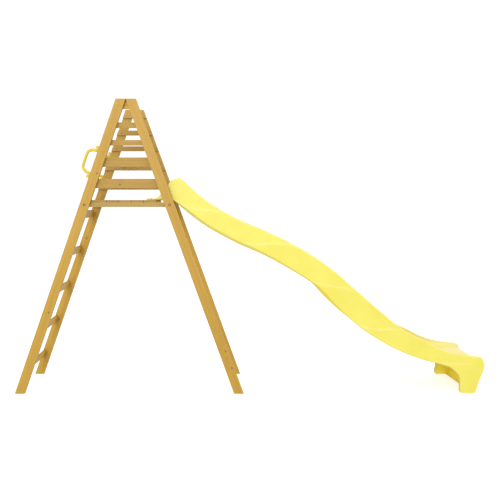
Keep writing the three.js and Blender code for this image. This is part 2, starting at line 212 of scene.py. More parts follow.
def timber_material(name, pale, dark, knot, roughness):
    material, tree, shader = new_material(name)
    grain, lie = mark(tree, "grain", "Vector"), mark(tree, "lie", "Vector")
    tone, arris = mark(tree, "tone"), mark(tree, "arris")
    parts = add_node(tree, "ShaderNodeSeparateXYZ", {0: grain}).outputs
    facing = add_node(tree, "ShaderNodeNewGeometry").outputs["Normal"]
    end_grain = vector_math(tree, "DOT_PRODUCT", lie, facing)["Value"]
    end_grain = fade(tree, calculate(tree, "ABSOLUTE", end_grain), 0.75, 0.97)

    # The distance from the nearer knot, with a ragged edge. Near a knot the rings are pushed outwards.
    near_knot = calculate(tree, "MINIMUM", knot_distance(tree, "knot_1"), knot_distance(tree, "knot_2"))
    ragged = stretched_noise(tree, grain, (180, 260, 260), 3)
    ragged = scaled(tree, ragged, 0.006, -0.003)
    near_knot = calculate(tree, "ADD", near_knot, ragged)
    push = fade(tree, near_knot, 0.0, KNOT_REACH, KNOT_PUSH, 0.0)

    # Rings: the distance from the heart, which sways along the plank. Late wood is each ring's dark half.
    sway = stretched_noise(tree, grain, (1.5, 9, 9))
    across = scaled(tree, sway, 0.05, -0.025)
    across = calculate(tree, "ADD", parts[1], across)
    squared = times(tree, across, across)
    through = times(tree, parts[2], parts[2])
    radius = calculate(tree, "SQRT", calculate(tree, "ADD", squared, through))
    radius = calculate(tree, "ADD", radius, push)
    ring = calculate(tree, "FRACT", calculate(tree, "DIVIDE", radius, RING_SPACING))
    late_wood = times(tree, fade(tree, ring, 0.25, 0.86), fade(tree, ring, 0.9, 1.0, 1.0, 0.0))

    # Fibres, broad streaks and short pores, all much longer than they are wide.
    fibre = stretched_noise(tree, grain, (9, 520, 520), 3)
    streak = stretched_noise(tree, grain, (1.1, 34, 34), 2)
    pore = fade(tree, stretched_noise(tree, grain, (26, 900, 900), 1), 0.66, 0.74)

    colour = tint(tree, pale, late_wood, 0.4, dark)
    streak_share = fade(tree, streak, 0.35, 0.75, 0.0, 0.35)
    colour = mix_colour(tree, streak_share, colour, dark)
    fibre_light = fade(tree, fibre, 0.25, 0.75, 0.86, 1.1)
    # The random tone and the painted light for boards in shade scale the brightness.
    tone_and_painted_light_factor = scaled(tree, tone, 0.1, 1.0)
    light = times(tree, fibre_light, tone_and_painted_light_factor)
    light = times(tree, light, scaled(tree, pore, -0.22, 1.0))
    grey = add_node(tree, "ShaderNodeCombineXYZ", {0: light, 1: light, 2: light}).outputs[0]
    colour = mix_colour(tree, 1.0, colour, grey, "MULTIPLY")

    # A knot: a dark halo in the wood round it, its heart, and a thin bark line at its edge.
    halo = fade(tree, near_knot, KNOT_RADIUS, KNOT_RADIUS * 2.4, 0.45, 0.0)
    colour = mix_colour(tree, halo, colour, dark)
    heart = fade(tree, near_knot, KNOT_RADIUS * 0.8, KNOT_RADIUS * 1.15, 0.8, 0.0)
    colour = mix_colour(tree, heart, colour, knot)
    rim_start = fade(tree, near_knot, KNOT_RADIUS * 0.6, KNOT_RADIUS * 0.95)
    rim_end = fade(tree, near_knot, KNOT_RADIUS, KNOT_RADIUS * 1.3, 1.0, 0.0)
    rim = times(tree, rim_start, rim_end)
    colour = tint(tree, colour, rim, 0.5, KNOT_RIM)

    soaked = mix_colour(tree, 1.0, colour, END_GRAIN_TINT, "MULTIPLY")
    colour = mix_colour(tree, end_grain, colour, soaked)

    scuff = fade(tree, stretched_noise(tree, grain, (45, 160, 160), 3), 0.35, 0.6, 0.25, 0.75)
    colour = tint(tree, colour, arris, scuff, WORN_TIMBER)

    rough = scaled(tree, fibre, 0.2, roughness - 0.1)
    rough = scaled(tree, late_wood, -0.08, rough)
    shader.inputs["Specular IOR Level"].default_value = 0.35
    relief = scaled(tree, late_wood, 0.5, times(tree, fibre, 0.8))
    relief = scaled(tree, pore, -0.7, relief)
    surface(tree, shader, colour, rough, relief, 0.45, 0.0004)
    return material


leg_timber = timber_material(
    "honey_pine", linear(163, 128, 38), linear(142, 102, 21), linear(104, 66, 25), 0.55
)
board_timber = timber_material(
    "pale_pine", linear(151, 119, 46), linear(133, 98, 32), linear(106, 72, 33), 0.6
)
platform_timber = timber_material(
    "deck_pine", linear(154, 127, 60), linear(134, 101, 37), linear(104, 66, 25), 0.58
)
print("timber materials made")

# %% [markdown]
# ## Moulded plastic and zinc
# The slide is hollow-moulded polyethylene: dyed right through, matte, with the faint orange-peel skin that
# the mould leaves, and slightly waxy, so the light softens inside it. The rim and the swooshes' steps are
# painted paler, as a painted highlight. The chute is polished lengthways by sliding, with hair-fine scuffs;
# its floor, and less so the rails' inner faces, are painted cream, as painted light from above. The grips
# are a harder, glossier moulding. The bolts and screws are zinc plated, the screws duller than the bolts.
# All of these could be one shader with other numbers; plastic, grips and zinc each get their own graph
# here, because what breaks up the surface is different on each. The slide's mesh carries marks that its
# material reads: `rim` and `chute` as above, `lip` for the rounded lower edge, which is painted darker as
# painted shade, a mark for the underside, which is painted a brighter, deeper yellow as painted light, and
# `run`, the place along and across the chute.

# %% The slide's plastic
SLIDE_MARKS = ("rim", "chute", "lip", "underside_painted_light")


def slide_plastic_material():
    material, tree, shader = new_material("slide_polyethylene")
    place = object_place(tree)
    rim, chute, lip, underside_painted_light = (mark(tree, name) for name in SLIDE_MARKS)

    cloud = fade(tree, stretched_noise(tree, place, (5, 5, 5), 3), 0.3, 0.7)
    colour = mix_colour(tree, cloud, linear(196, 187, 79), linear(192, 182, 71))
    # Painted light: the chute's floor, and less the rails' inner faces, are painted cream as if lit from
    # above.
    colour = tint(tree, colour, chute, 0.6, linear(230, 213, 150))
    # Painted highlight: the rim and the swooshes' steps are painted paler, broken up by noise.
    painted_highlight_share = fade(tree, stretched_noise(tree, place, (38, 38, 38), 4), 0.38, 0.66, 0.35, 0.8)
    colour = tint(tree, colour, rim, painted_highlight_share, linear(209, 194, 132))
    scuff = stretched_noise(tree, mark(tree, "run", "Vector"), (2.2, 150, 150), 4)
    scuff = times(tree, fade(tree, scuff, 0.56, 0.72), chute)
    colour = tint(tree, colour, scuff, 0.35, linear(212, 203, 150))
    # Painted shade: the rounded lower edge is painted darker.
    colour = tint(tree, colour, lip, 0.9, linear(176, 158, 66))
    # Painted light: the underside is painted a brighter, deeper yellow.
    colour = mix_colour(tree, underside_painted_light, colour, linear(222, 203, 66))

    skin = stretched_noise(tree, place, (420, 420, 420), 2)
    rough = scaled(tree, skin, 0.14, 0.4)
    rough = scaled(tree, chute, -0.08, rough)
    rough = scaled(tree, scuff, 0.16, rough)
    surface(tree, shader, colour, rough, scaled(tree, scuff, -0.5, skin), 0.3, 0.0005)
    shader.inputs["Subsurface Weight"].default_value = 0.3
    shader.inputs["Subsurface Radius"].default_value = (1.0, 0.9, 0.4)
    shader.inputs["Subsurface Scale"].default_value = 0.012
    shader.inputs["Specular IOR Level"].default_value = 0.4
    return material


slide_plastic = slide_plastic_material()


# %% The grips' plastic and the zinc of the fasteners
def grip_plastic_material():
    material, tree, shader = new_material("grip_gloss")
    place = object_place(tree)
    cloud = fade(tree, stretched_noise(tree, place, (30, 30, 30), 3), 0.3, 0.7)
    colour = mix_colour(tree, cloud, linear(186, 163, 9), linear(178, 154, 5))
    skin = stretched_noise(tree, place, (900, 900, 900), 2)
    rough = scaled(tree, skin, 0.12, 0.26)
    surface(tree, shader, colour, rough, skin, 0.2, 0.0003)
    shader.inputs["Specular IOR Level"].default_value = 0.35
    return material


def zinc_material(name, bright, dull):
    material, tree, shader = new_material(name)
    place = object_place(tree)
    bloom = fade(tree, stretched_noise(tree, place, (260, 260, 260), 4), 0.35, 0.7)
    colour = mix_colour(tree, bloom, bright, dull)
    brushed = stretched_noise(tree, place, (3000, 3000, 3000), 2)
    rough = scaled(tree, brushed, 0.2, 0.24)
    surface(tree, shader, colour, rough, brushed, 0.15, 0.0001)
    shader.inputs["Metallic"].default_value = 1.0
    return material


grip_plastic = grip_plastic_material()
bolt_zinc = zinc_material("bolt_zinc", linear(126, 106, 98), linear(88, 72, 66))
screw_zinc = zinc_material("screw_zinc", linear(104, 92, 78), linear(64, 54, 46))
print("materials", [m.name for m in bpy.data.materials if m.use_nodes])

# %% [markdown]
# ## Planks with rounded arrises
# A planed plank is a box whose long edges are eased with a router, so that small hands meet no sharp edge.
# The CAD node gives the exact outline with its mitres and holes, as loose triangles. A copy is merged,
# its flat faces are made whole again, and its long edges are bevelled in bmesh: the plank keeps its CAD
# size to the millimetre, and the edge catches the light as a real one does. A Bevel modifier would do the
# same, but the rim of every screw hole would be rounded too.

# %% A mesh from a bmesh, and a finished piece
def mesh_from(shape, name):
    mesh = bpy.data.meshes.new(name)
    shape.to_mesh(mesh)
    shape.free()
    return mesh


def finish_piece(piece, stands_for=()):
    """Sets a piece on the frame's only body, with the CAD nodes it takes the place of."""
    bpy.context.scene.collection.objects.link(piece)
    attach(piece, "root")
    if stands_for:
        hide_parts(*stands_for)


def box_of(node):
    """The middle and the size of a CAD node's box."""
    low, high = (Vector(corner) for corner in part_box(node))
    return (low + high) / 2, high - low


# %% A merged copy of a CAD node, and its directions
MERGE_DISTANCE = 1e-5
FLAT_ANGLE = math.radians(1)


def merged_copy(node):
    shape = bmesh.new()
    shape.from_mesh(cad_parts[node].data)
    bmesh.ops.remove_doubles(shape, verts=shape.verts, dist=MERGE_DISTANCE)
    bmesh.ops.dissolve_limit(shape, angle_limit=FLAT_ANGLE, verts=shape.verts, edges=shape.edges)
    return shape


def plank_axes(shape):
    """The directions along, across and through a plank: its longest edge, and its largest face's normal."""
    longest = max(shape.edges, key=lambda edge: edge.calc_length())
    along = (longest.verts[1].co - longest.verts[0].co).normalized()
    if along.x + along.y + along.z < 0:
        along.negate()
    through = max(shape.faces, key=lambda face: face.calc_area()).normal.copy()
    through = (through - along * through.dot(along)).normalized()
    return along, through.cross(along).normalized(), through


LONG_EDGE = 0.016
SHARP_ANGLE = math.radians(25)
ARRIS_SEGMENTS = 3


def round_arrises(shape, radius):
    """Bevels the long sharp edges, and marks the rounded strip that wears first."""
    sharp = [
        edge
        for edge in shape.edges
        if edge.calc_length() > LONG_EDGE
        and len(edge.link_faces) == 2
        and edge.calc_face_angle(0) > SHARP_ANGLE
    ]
    made = bmesh.ops.bevel(
        shape, geom=sharp, offset=radius, segments=ARRIS_SEGMENTS, profile=0.5,
        affect="EDGES", clamp_overlap=True,
    )
    strip = set(made["faces"])
    arris = shape.verts.layers.float.new("arris")
    for vert in shape.verts:
        vert[arris] = 1.0 if all(face in strip for face in vert.link_faces) else 0.0
    for face in shape.faces:
        face.smooth = face in strip


# %% Grain, knots and tone for one plank
# A knot that far away leaves no mark. The heart is drawn between two corners of a box beside the plank.
FAR_AWAY = 9.0
HEART_LOW, HEART_HIGH = (0, -0.02, 0.05), (3, 0.02, 0.09)
PLANK_TONE = 0.6


def give_grain(shape, name, axes, knots, painted_light):
    """Stores each point's place along, across and through the plank, and its offset from each knot.

    Painted light makes the whole plank paler than its random tone would, where shade falls on it.
    """
    chance = random.Random(name)
    along, across, through = axes
    middle = sum((vert.co for vert in shape.verts), Vector()) / len(shape.verts)
    heart = Vector([chance.uniform(low, high) for low, high in zip(HEART_LOW, HEART_HIGH)])
    # The random tone, with the painted light added for a plank in shade.
    tone_and_painted_light_value = chance.uniform(-PLANK_TONE, PLANK_TONE) + painted_light
    grain = shape.verts.layers.float_vector.new("grain")
    tone = shape.verts.layers.float.new("tone")
    knot_layers = [shape.verts.layers.float_vector.new(f"knot_{n}") for n in (1, 2)]
    lie = shape.verts.layers.float_vector.new("lie")
    for vert in shape.verts:
        offset = vert.co - middle
        vert[grain] = Vector((offset.dot(along), offset.dot(across), offset.dot(through))) + heart
        vert[tone] = tone_and_painted_light_value
        vert[lie] = along
        for number, layer in enumerate(knot_layers):
            if number < len(knots):
                reach = vert.co - Vector(knots[number])
                vert[layer] = Vector((reach.dot(along), reach.dot(across), 0))
            else:
                vert[layer] = Vector((FAR_AWAY, FAR_AWAY, 0))


def plank_from_node(node, radius, material, knots=(), painted_light=0.0):
    shape = merged_copy(node)
    axes = plank_axes(shape)
    round_arrises(shape, radius)
    give_grain(shape, node, axes, knots, painted_light)
    name = node + "_plank"
    mesh = mesh_from(shape, name)
    mesh.materials.append(material)
    finish_piece(bpy.data.objects.new(name, mesh), [node])


# %% [markdown]
# ## The A-frames
# Each A-frame has two leg planks that meet at the top, four guard boards and a gusset screwed to their
# inner faces, and a bearer for the platform bolted through. The two frames are alike, mirrored. A knot
# could be left to chance, but it is what the eye finds first on a board, so each is placed on the face of
# its leg or board. Painted light makes the far frame and the near gusset paler than the rest, in place of
# the light that the shade of the near frame and the legs keeps from them.

# %% Where the tower stands along the row
leg_low, leg_high = (Vector(corner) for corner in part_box("leg_near_ladder"))
tower_x = (leg_low.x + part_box("leg_near_slide")[1][0]) / 2
tower_height = leg_high.z
deck_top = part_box("deck_board_1")[1][2]
print("tower middle", round(tower_x, 4), "height", round(tower_height, 3), "deck", round(deck_top, 3))


def tower_point(x, z):
    """A point of the side view, in millimetres from the tower's middle and the ground, in metres."""
    return (tower_x + x * MM, 0.0, z * MM)


# %% Legs, guard boards, gussets and bearers
LEG_ARRIS, BOARD_ARRIS = 0.0035, 0.0025
# Painted light for each side, which makes the far legs and boards and both gussets paler, the near gusset
# most, where the near frame and the legs shade them.
LEG_PAINTED_LIGHT = {"near": 0.0, "far": 0.6}
BOARD_PAINTED_LIGHT = {"near": 0.0, "far": 1.6}
GUSSET_PAINTED_LIGHT = {"near": 5.0, "far": 1.6}
leg_knots = {
    "leg_near_slide": [tower_point(750, 337), tower_point(798, 206)],
    "leg_near_ladder": [tower_point(-610, 640), tower_point(-222, 1700)],
    "leg_far_ladder": [tower_point(-672, 480), tower_point(-420, 1180)],
    "leg_far_slide": [tower_point(520, 905), tower_point(280, 1570)],
}
board_knots = {
    "guard_board_near_1": [tower_point(-55, 1616)],
    "guard_board_far_1": [tower_point(120, 1640)],
    "guard_board_far_2": [tower_point(-90, 1770)],
    "bearer_near": [tower_point(150, 1460)],
    "bearer_far": [tower_point(-120, 1462)],
}
for side in SIDES:
    for end in ENDS:
        node = f"leg_{side}_{end}"
        plank_from_node(node, LEG_ARRIS, leg_timber, leg_knots[node], LEG_PAINTED_LIGHT[side])
    boards = {f"guard_board_{side}_{number}": BOARD_PAINTED_LIGHT[side] for number in (1, 2, 3, 4)}
    boards[f"gusset_{side}"] = GUSSET_PAINTED_LIGHT[side]
    for board, painted_light in boards.items():
        knots = board_knots.get(board, ())
        plank_from_node(board, BOARD_ARRIS, board_timber, knots, painted_light)
    bearer = f"bearer_{side}"
    plank_from_node(bearer, BOARD_ARRIS, platform_timber, board_knots[bearer])

# %% [markdown]
# ## Slats laid by a rule: the platform and the ladder
# The platform is six equal boards at an even pitch, and the ladder is five equal rungs at an even rise.
# They could be eleven separate boxes. Geometry Nodes say the rule once: a rounded section swept into a
# slat, set out along a line of points, with its own grain, knot and tone for each slat from a fixed seed.
# The sizes come in as named inputs, measured from the CAD boxes.

# %% Helpers for Geometry Nodes
def new_tree(name, inputs):
    tree = bpy.data.node_groups.new(name, "GeometryNodeTree")
    tree.interface.new_socket("Geometry", in_out="INPUT", socket_type="NodeSocketGeometry")
    for label, kind in inputs:
        tree.interface.new_socket(label, in_out="INPUT", socket_type="NodeSocket" + kind)
    tree.interface.new_socket("Geometry", in_out="OUTPUT", socket_type="NodeSocketGeometry")
    return tree, tree.nodes.new("NodeGroupInput").outputs


def store(tree, geometry, name, value, kind="FLOAT_VECTOR", domain="POINT"):
    inputs = {"Geometry": geometry, "Name": name, "Value": value}
    return add_node(
        tree, "GeometryNodeStoreNamedAttribute", inputs, data_type=kind, domain=domain
    ).outputs[0]


def named(tree, name):
    inputs = {"Name": name}
    kind = "GeometryNodeInputNamedAttribute"
    return add_node(tree, kind, inputs, data_type="FLOAT_VECTOR").outputs[0]


def random_vector(tree, low, high, seed, salt):
    """A random vector for each slat. The salt keeps two draws with one seed apart."""
    inputs = {"Min": low, "Max": high, "Seed": calculate(tree, "ADD", seed, salt)}
    made = add_node(tree, "FunctionNodeRandomValue", data_type="FLOAT_VECTOR")
    feed(tree, made, inputs)
    return made.outputs["Value"]


def set_material_and_end(tree, geometry, material):
    inputs = {"Geometry": geometry, "Material": material}
    made = add_node(tree, "GeometryNodeSetMaterial", inputs).outputs[0]
    tree.links.new(made, tree.nodes.new("NodeGroupOutput").inputs[0])
    return tree


# %% The slat tree
SLAT_INPUTS = [
    ("Length", "Float"), ("Width", "Float"), ("Thickness", "Float"), ("Arris radius", "Float"),
    ("Count", "Int"), ("First", "Vector"), ("Step", "Vector"), ("Turn", "Vector"),
    ("Lift", "Float"), ("Seed", "Int"), ("Material", "Material"),
]
# The salt, the low corner and the high corner of what each slat draws for itself.
SLAT_DRAWS = {
    "heart": (0, HEART_LOW, HEART_HIGH),
    "knot_place": (7, (-0.2, -0.026, 0), (0.2, 0.026, 0)),
    "tone_vector": (13, (-0.8, 0, 0), (0.8, 0, 0)),
}
# The flat face's own edge is not part of the rounded margin, which starts this many metres past it.
MARGIN_START = 0.0001


def rounded_margin(tree, place, size, radius):
    """1 where a place lies in the rounded margin at either edge of a size, 0 in the flat middle."""
    edge = scaled(tree, size, 0.5, MARGIN_START)
    edge = calculate(tree, "SUBTRACT", edge, radius)
    return calculate(tree, "GREATER_THAN", calculate(tree, "ABSOLUTE", place), edge)


def slat_tree():
    tree, given = new_tree("slats", SLAT_INPUTS)
    section = add_node(
        tree, "GeometryNodeCurvePrimitiveQuadrilateral",
        {"Width": given["Width"], "Height": given["Thickness"]}, mode="RECTANGLE",
    ).outputs[0]
    section = add_node(
        tree, "GeometryNodeFilletCurve",
        {"Curve": section, "Count": 3, "Radius": given["Arris radius"]}, mode="POLY",
    ).outputs[0]
    half = times(tree, given["Length"], 0.5)
    start = add_node(tree, "ShaderNodeCombineXYZ", {1: times(tree, half, -1.0)})
    stop = add_node(tree, "ShaderNodeCombineXYZ", {1: half})
    line = add_node(
        tree, "GeometryNodeCurvePrimitiveLine",
        {"Start": start.outputs[0], "End": stop.outputs[0]}, mode="POINTS",
    ).outputs[0]
    slat = add_node(
        tree, "GeometryNodeCurveToMesh",
        {"Curve": line, "Profile Curve": section, "Fill Caps": True},
    ).outputs[0]
    place = add_node(tree, "GeometryNodeInputPosition").outputs[0]
    parts = add_node(tree, "ShaderNodeSeparateXYZ", {0: place}).outputs
    local = add_node(tree, "ShaderNodeCombineXYZ", {0: parts[1], 1: parts[0], 2: parts[2]}).outputs[0]
    slat = store(tree, slat, "grain", local)
    edge_across = rounded_margin(tree, parts[0], given["Width"], given["Arris radius"])
    edge_through = rounded_margin(tree, parts[2], given["Thickness"], given["Arris radius"])
    both = times(tree, edge_across, edge_through)
    slat = store(tree, slat, "arris", both, "FLOAT")

    points = add_node(
        tree, "GeometryNodeMeshLine",
        {"Count": given["Count"], "Start Location": given["First"], "Offset": given["Step"]},
        mode="OFFSET",
    ).outputs[0]
    turn = add_node(tree, "FunctionNodeEulerToRotation", {0: given["Turn"]}).outputs[0]
    slats = add_node(
        tree, "GeometryNodeInstanceOnPoints",
        {"Points": points, "Instance": slat, "Rotation": turn},
    ).outputs[0]
    for label, (salt, low, high) in SLAT_DRAWS.items():
        drawn = random_vector(tree, low, high, given["Seed"], salt)
        slats = store(tree, slats, label, drawn, domain="INSTANCE")
    slats = add_node(tree, "GeometryNodeRealizeInstances", {"Geometry": slats}).outputs[0]

    from_knot = vector_math(tree, "SUBTRACT", named(tree, "grain"), named(tree, "knot_place"))[0]
    slats = store(tree, slats, "knot_1", from_knot)
    slats = store(tree, slats, "knot_2", (FAR_AWAY, FAR_AWAY, 0.0))
    from_heart = vector_math(tree, "ADD", named(tree, "grain"), named(tree, "heart"))[0]
    slats = store(tree, slats, "grain", from_heart)
    tone_x = add_node(tree, "ShaderNodeSeparateXYZ", {0: named(tree, "tone_vector")}).outputs[0]
    # The tone adds the painted light of the input to each slat's random tone.
    slats = store(tree, slats, "tone", calculate(tree, "ADD", tone_x, given["Lift"]), "FLOAT")
    slats = store(tree, slats, "lie", (0.0, 1.0, 0.0))
    return set_material_and_end(tree, slats, given["Material"])


slats_by_rule = slat_tree()
print("slat tree nodes", len(slats_by_rule.nodes))


# %% Run a tree and keep its plain mesh
def grow(name, tree, values, source=None):
    """Runs a Geometry Nodes tree on a mesh and returns its result as a plain object."""
    mesh = source or bpy.data.meshes.new(name + "_source")
    carrier = bpy.data.objects.new(name + "_carrier", mesh)
    bpy.context.scene.collection.objects.link(carrier)
    modifier = carrier.modifiers.new("rule", "NODES")
    modifier.node_group = tree
    for socket in tree.interface.items_tree:
        if socket.in_out == "INPUT" and socket.name in values:
            modifier[socket.identifier] = values[socket.name]
    evaluated = carrier.evaluated_get(bpy.context.evaluated_depsgraph_get())
    result = bpy.data.meshes.new_from_object(evaluated)
    result.name = name
    carrier.modifiers.remove(modifier)
    bpy.data.objects.remove(carrier)
    return bpy.data.objects.new(name, result)


# %% The platform's six boards
DECK_ARRIS = 0.002
first, size = box_of("deck_board_1")
last, _ = box_of("deck_board_6")
deck = grow("platform_deck", slats_by_rule, {
    "Length": size.y, "Width": size.x, "Thickness": size.z, "Arris radius": DECK_ARRIS,
    "Count": 6, "First": first, "Step": (last - first) / 5, "Turn": Vector((0, 0, 0)),
    "Lift": 0.0, "Seed": 4, "Material": platform_timber,
})
finish_piece(deck, [f"deck_board_{n}" for n in range(1, 7)])
print("deck faces", len(deck.data.polygons), "size", [round(v, 4) for v in deck.dimensions])

# %% The ladder's five rungs
# The rungs lie in the legs' slope and are stained like the legs. Their section is measured along it.
rung_shape = merged_copy("rung_1")
_, rung_upward, rung_outward = plank_axes(rung_shape)
rung_section = []
for axis in (rung_upward, rung_outward):
    reach = [vert.co.dot(axis) for vert in rung_shape.verts]
    rung_section.append(max(reach) - min(reach))
lean = math.atan2(abs(rung_outward.z), abs(rung_outward.x))
rung_shape.free()
first, size = box_of("rung_1")
last, _ = box_of("rung_5")
# The rungs' painted light makes them paler, as they get little light between the legs.
rungs = grow("ladder_rungs", slats_by_rule, {
    "Length": size.y, "Width": rung_section[0], "Thickness": rung_section[1],
    "Arris radius": BOARD_ARRIS, "Count": 5, "First": first, "Step": (last - first) / 4,
    "Turn": Vector((0, lean - math.pi / 2, 0)), "Lift": 1.2, "Seed": 11,
    "Material": leg_timber,
})
finish_piece(rungs, [f"rung_{n}" for n in range(1, 6)])
print("rung section", [round(v, 4) for v in rung_section], "lean", round(math.degrees(lean), 2))

# %% [markdown]
# ## Bolts, nuts and screws
# Carriage bolts hold each bearer, with smooth round heads outside and hexagon nuts inside. Pan-head screws
# with a cross recess hold the guard boards, the grips and the slide's flange, and countersunk screws hold
# the gussets and the platform boards. One fastener of each kind is turned on a lathe in code: a profile is
# spun round an axis, and the ring at the recess is drawn in between its four arms. Geometry Nodes then set
# out copies on points that carry the way each head faces, with a random turn, as a screwdriver leaves it.

# %% Turn a profile round an axis
RECESS_WAIST = 0.4


def lathe(name, profile, sides, hollow=False):
    """Profile points are (radius, height) in millimetres, or (radius, height, "cross") in a recess.

    A radius or a height may also be a function of the angle. A hollow profile closes on itself.
    """
    shape = bmesh.new()
    rings = []
    for radius, height, *kind in profile:
        ring = []
        for index in range(1 if radius == 0 else sides):
            angle = 2 * math.pi * index / sides
            reach = radius(angle) if callable(radius) else radius
            rise = height(angle) if callable(height) else height
            if kind and index % (sides // 4):
                reach *= RECESS_WAIST
            place = (reach * MM * math.cos(angle), reach * MM * math.sin(angle), rise * MM)
            ring.append(shape.verts.new(place))
        rings.append(ring)
    for one, other in zip(rings, rings[1:] + (rings[:1] if hollow else [])):
        for index in range(sides):
            after = (index + 1) % sides
            corners = [one[index % len(one)], other[index % len(other)],
                       other[after % len(other)], one[after % len(one)]]
            shape.faces.new(dict.fromkeys(corners))
    bmesh.ops.recalc_face_normals(shape, faces=shape.faces)
    mesh = mesh_from(shape, name)
    mesh.shade_smooth()
    mesh.set_sharp_from_angle(angle=math.radians(35))
    return bpy.data.objects.new(name, mesh)


# %% The profiles of the screws, the bolt and the nut
PAN_HEIGHT, BOLT_HEAD_HEIGHT, NUT_HEIGHT = 2.2, 4.5, 7.0
THREAD_PITCH, THREAD_DEPTH, THREADS = 1.25, 0.45, 12


def pan_head(length, radius=4.4, height=PAN_HEIGHT, shank=2.2):
    return [
        (0, height - 1.2), (1.9, height - 1.2, "cross"), (2.3, height - 0.02, "cross"),
        (2.9, height - 0.1), (radius * 0.86, height * 0.7), (radius, height * 0.25), (radius, 0),
        (shank, 0), (shank, 3 - length), (0, -length),
    ]


def flat_head(length, radius=4.2, shank=2.1):
    return [
        (0, -1.3), (1.8, -1.3, "cross"), (2.2, 0.1, "cross"), (2.8, 0.12), (radius, 0.0),
        (shank, 0.1 - radius + shank), (shank, 3 - length), (0, -length),
    ]


def carriage_bolt(length, radius=10, height=BOLT_HEAD_HEIGHT, shank=4.0):
    """A domed head, a plain shank, and a thread as far as the nut runs."""
    profile = [(0, height)]
    for step in range(1, 7):
        angle = math.radians(15 * step)
        profile.append((radius * math.sin(angle), height * (0.12 + 0.88 * math.cos(angle))))
    profile += [(radius, 0), (shank, 0), (shank, -length + THREADS * THREAD_PITCH)]
    for step in range(THREADS):
        top = -length + (THREADS - step) * THREAD_PITCH
        profile.append((shank - THREAD_DEPTH, top - THREAD_PITCH * 0.5))
        profile.append((shank if step < THREADS - 1 else shank - THREAD_DEPTH, top - THREAD_PITCH))
    return profile + [(0, -length)]


def hexagon(corner_radius, limit=None):
    """The radius of a hexagon in a direction, cut off at a limit where its corners are chamfered."""
    def reach(angle):
        across = corner_radius * math.cos(math.pi / 6)
        around = (angle + math.pi / 6) % (math.pi / 3) - math.pi / 6
        return min(across / math.cos(around), limit or corner_radius)
    return reach


def hex_nut(radius=7.5, height=NUT_HEIGHT, bore=4.25):
    flat = radius * math.cos(math.pi / 6)
    side = hexagon(radius)

    def chamfer(angle):
        return height - 0.15 - (side(angle) - flat) * 0.6

    return [
        (bore + 0.5, height), (hexagon(radius, flat * 1.01), height), (side, chamfer), (side, 0.1),
        (hexagon(radius, flat * 1.05), 0), (bore + 0.5, 0), (bore, 0.6), (bore, height - 0.6),
    ]


# %% The fastener tree
FASTENER_INPUTS = [("Fastener", "Object"), ("Spin", "Float"), ("Seed", "Int"), ("Material", "Material")]


def fastener_tree():
    tree, given = new_tree("fasteners", FASTENER_INPUTS)
    model = add_node(
        tree, "GeometryNodeObjectInfo", {"Object": given["Fastener"], "As Instance": True}
    ).outputs["Geometry"]
    facing = add_node(
        tree, "FunctionNodeAlignRotationToVector", {"Vector": named(tree, "facing")}, axis="Z"
    )
    spin = add_node(tree, "FunctionNodeRandomValue", {"Seed": given["Seed"]}, data_type="FLOAT")
    tree.links.new(given["Spin"], spin.inputs[3])
    turn = add_node(tree, "FunctionNodeAxisAngleToRotation", {"Axis": (0, 0, 1), "Angle": spin.outputs[1]})
    spun = add_node(
        tree, "FunctionNodeRotateRotation",
        {"Rotation": facing.outputs[0], "Rotate By": turn.outputs[0]}, rotation_space="LOCAL",
    )
    set_out = add_node(
        tree, "GeometryNodeInstanceOnPoints",
        {"Points": given["Geometry"], "Instance": model, "Rotation": spun.outputs[0]},
    ).outputs[0]
    plain = add_node(tree, "GeometryNodeRealizeInstances", {"Geometry": set_out}).outputs[0]
    return set_material_and_end(tree, plain, given["Material"])


fasteners_on_points = fastener_tree()


def set_out_fasteners(
    name, profile, sides, places, stands_for=(), hollow=False, spin=1.5, metal=screw_zinc
):
    """Places are (point, facing). The result is one plain mesh of the whole group."""
    points = bpy.data.meshes.new(name + "_points")
    points.from_pydata([place for place, _ in places], [], [])
    facing = points.attributes.new("facing", "FLOAT_VECTOR", "POINT")
    facing.data.foreach_set("vector", [value for _, way in places for value in way])
    model = lathe(name + "_model", profile, sides, hollow)
    group = grow(name, fasteners_on_points, {
        "Fastener": model, "Spin": spin, "Seed": len(places), "Material": metal,
    }, points)
    bpy.data.objects.remove(model)
    finish_piece(group, stands_for)
    print(name, len(places), "fasteners,", len(group.data.polygons), "faces")


def seat_of(node, facing, head_height):
    """Where a fastener's head bears: on its axis, a head's height below the head's top."""
    corners = [vert.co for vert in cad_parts[node].data.vertices]
    axis = sum(corners, Vector()) / len(corners)
    top = max(corner.dot(facing) for corner in corners)
    return axis + facing * (top - head_height * MM - axis.dot(facing)), facing


# %% The fasteners that the CAD model holds
# Each seat is found from its own CAD node. The screws' points, hidden in the wood, end up to 2.5 mm
# short of their nodes' ends. The lengths are in millimetres, below the head.
SCREW_LENGTHS = {"guard_screws": 43.5, "grip_screws": 30.5, "flange_screws": 27}
SCREW_SIDES, BOLT_SIDES = 16, 24
outward = Vector((-math.cos(lean), 0, math.sin(lean)))
fasteners = {}


def add_seat(group, node, facing, head_height):
    nodes, seats = fasteners.setdefault(group, ([], []))
    nodes.append(node)
    seats.append(seat_of(node, facing, head_height))


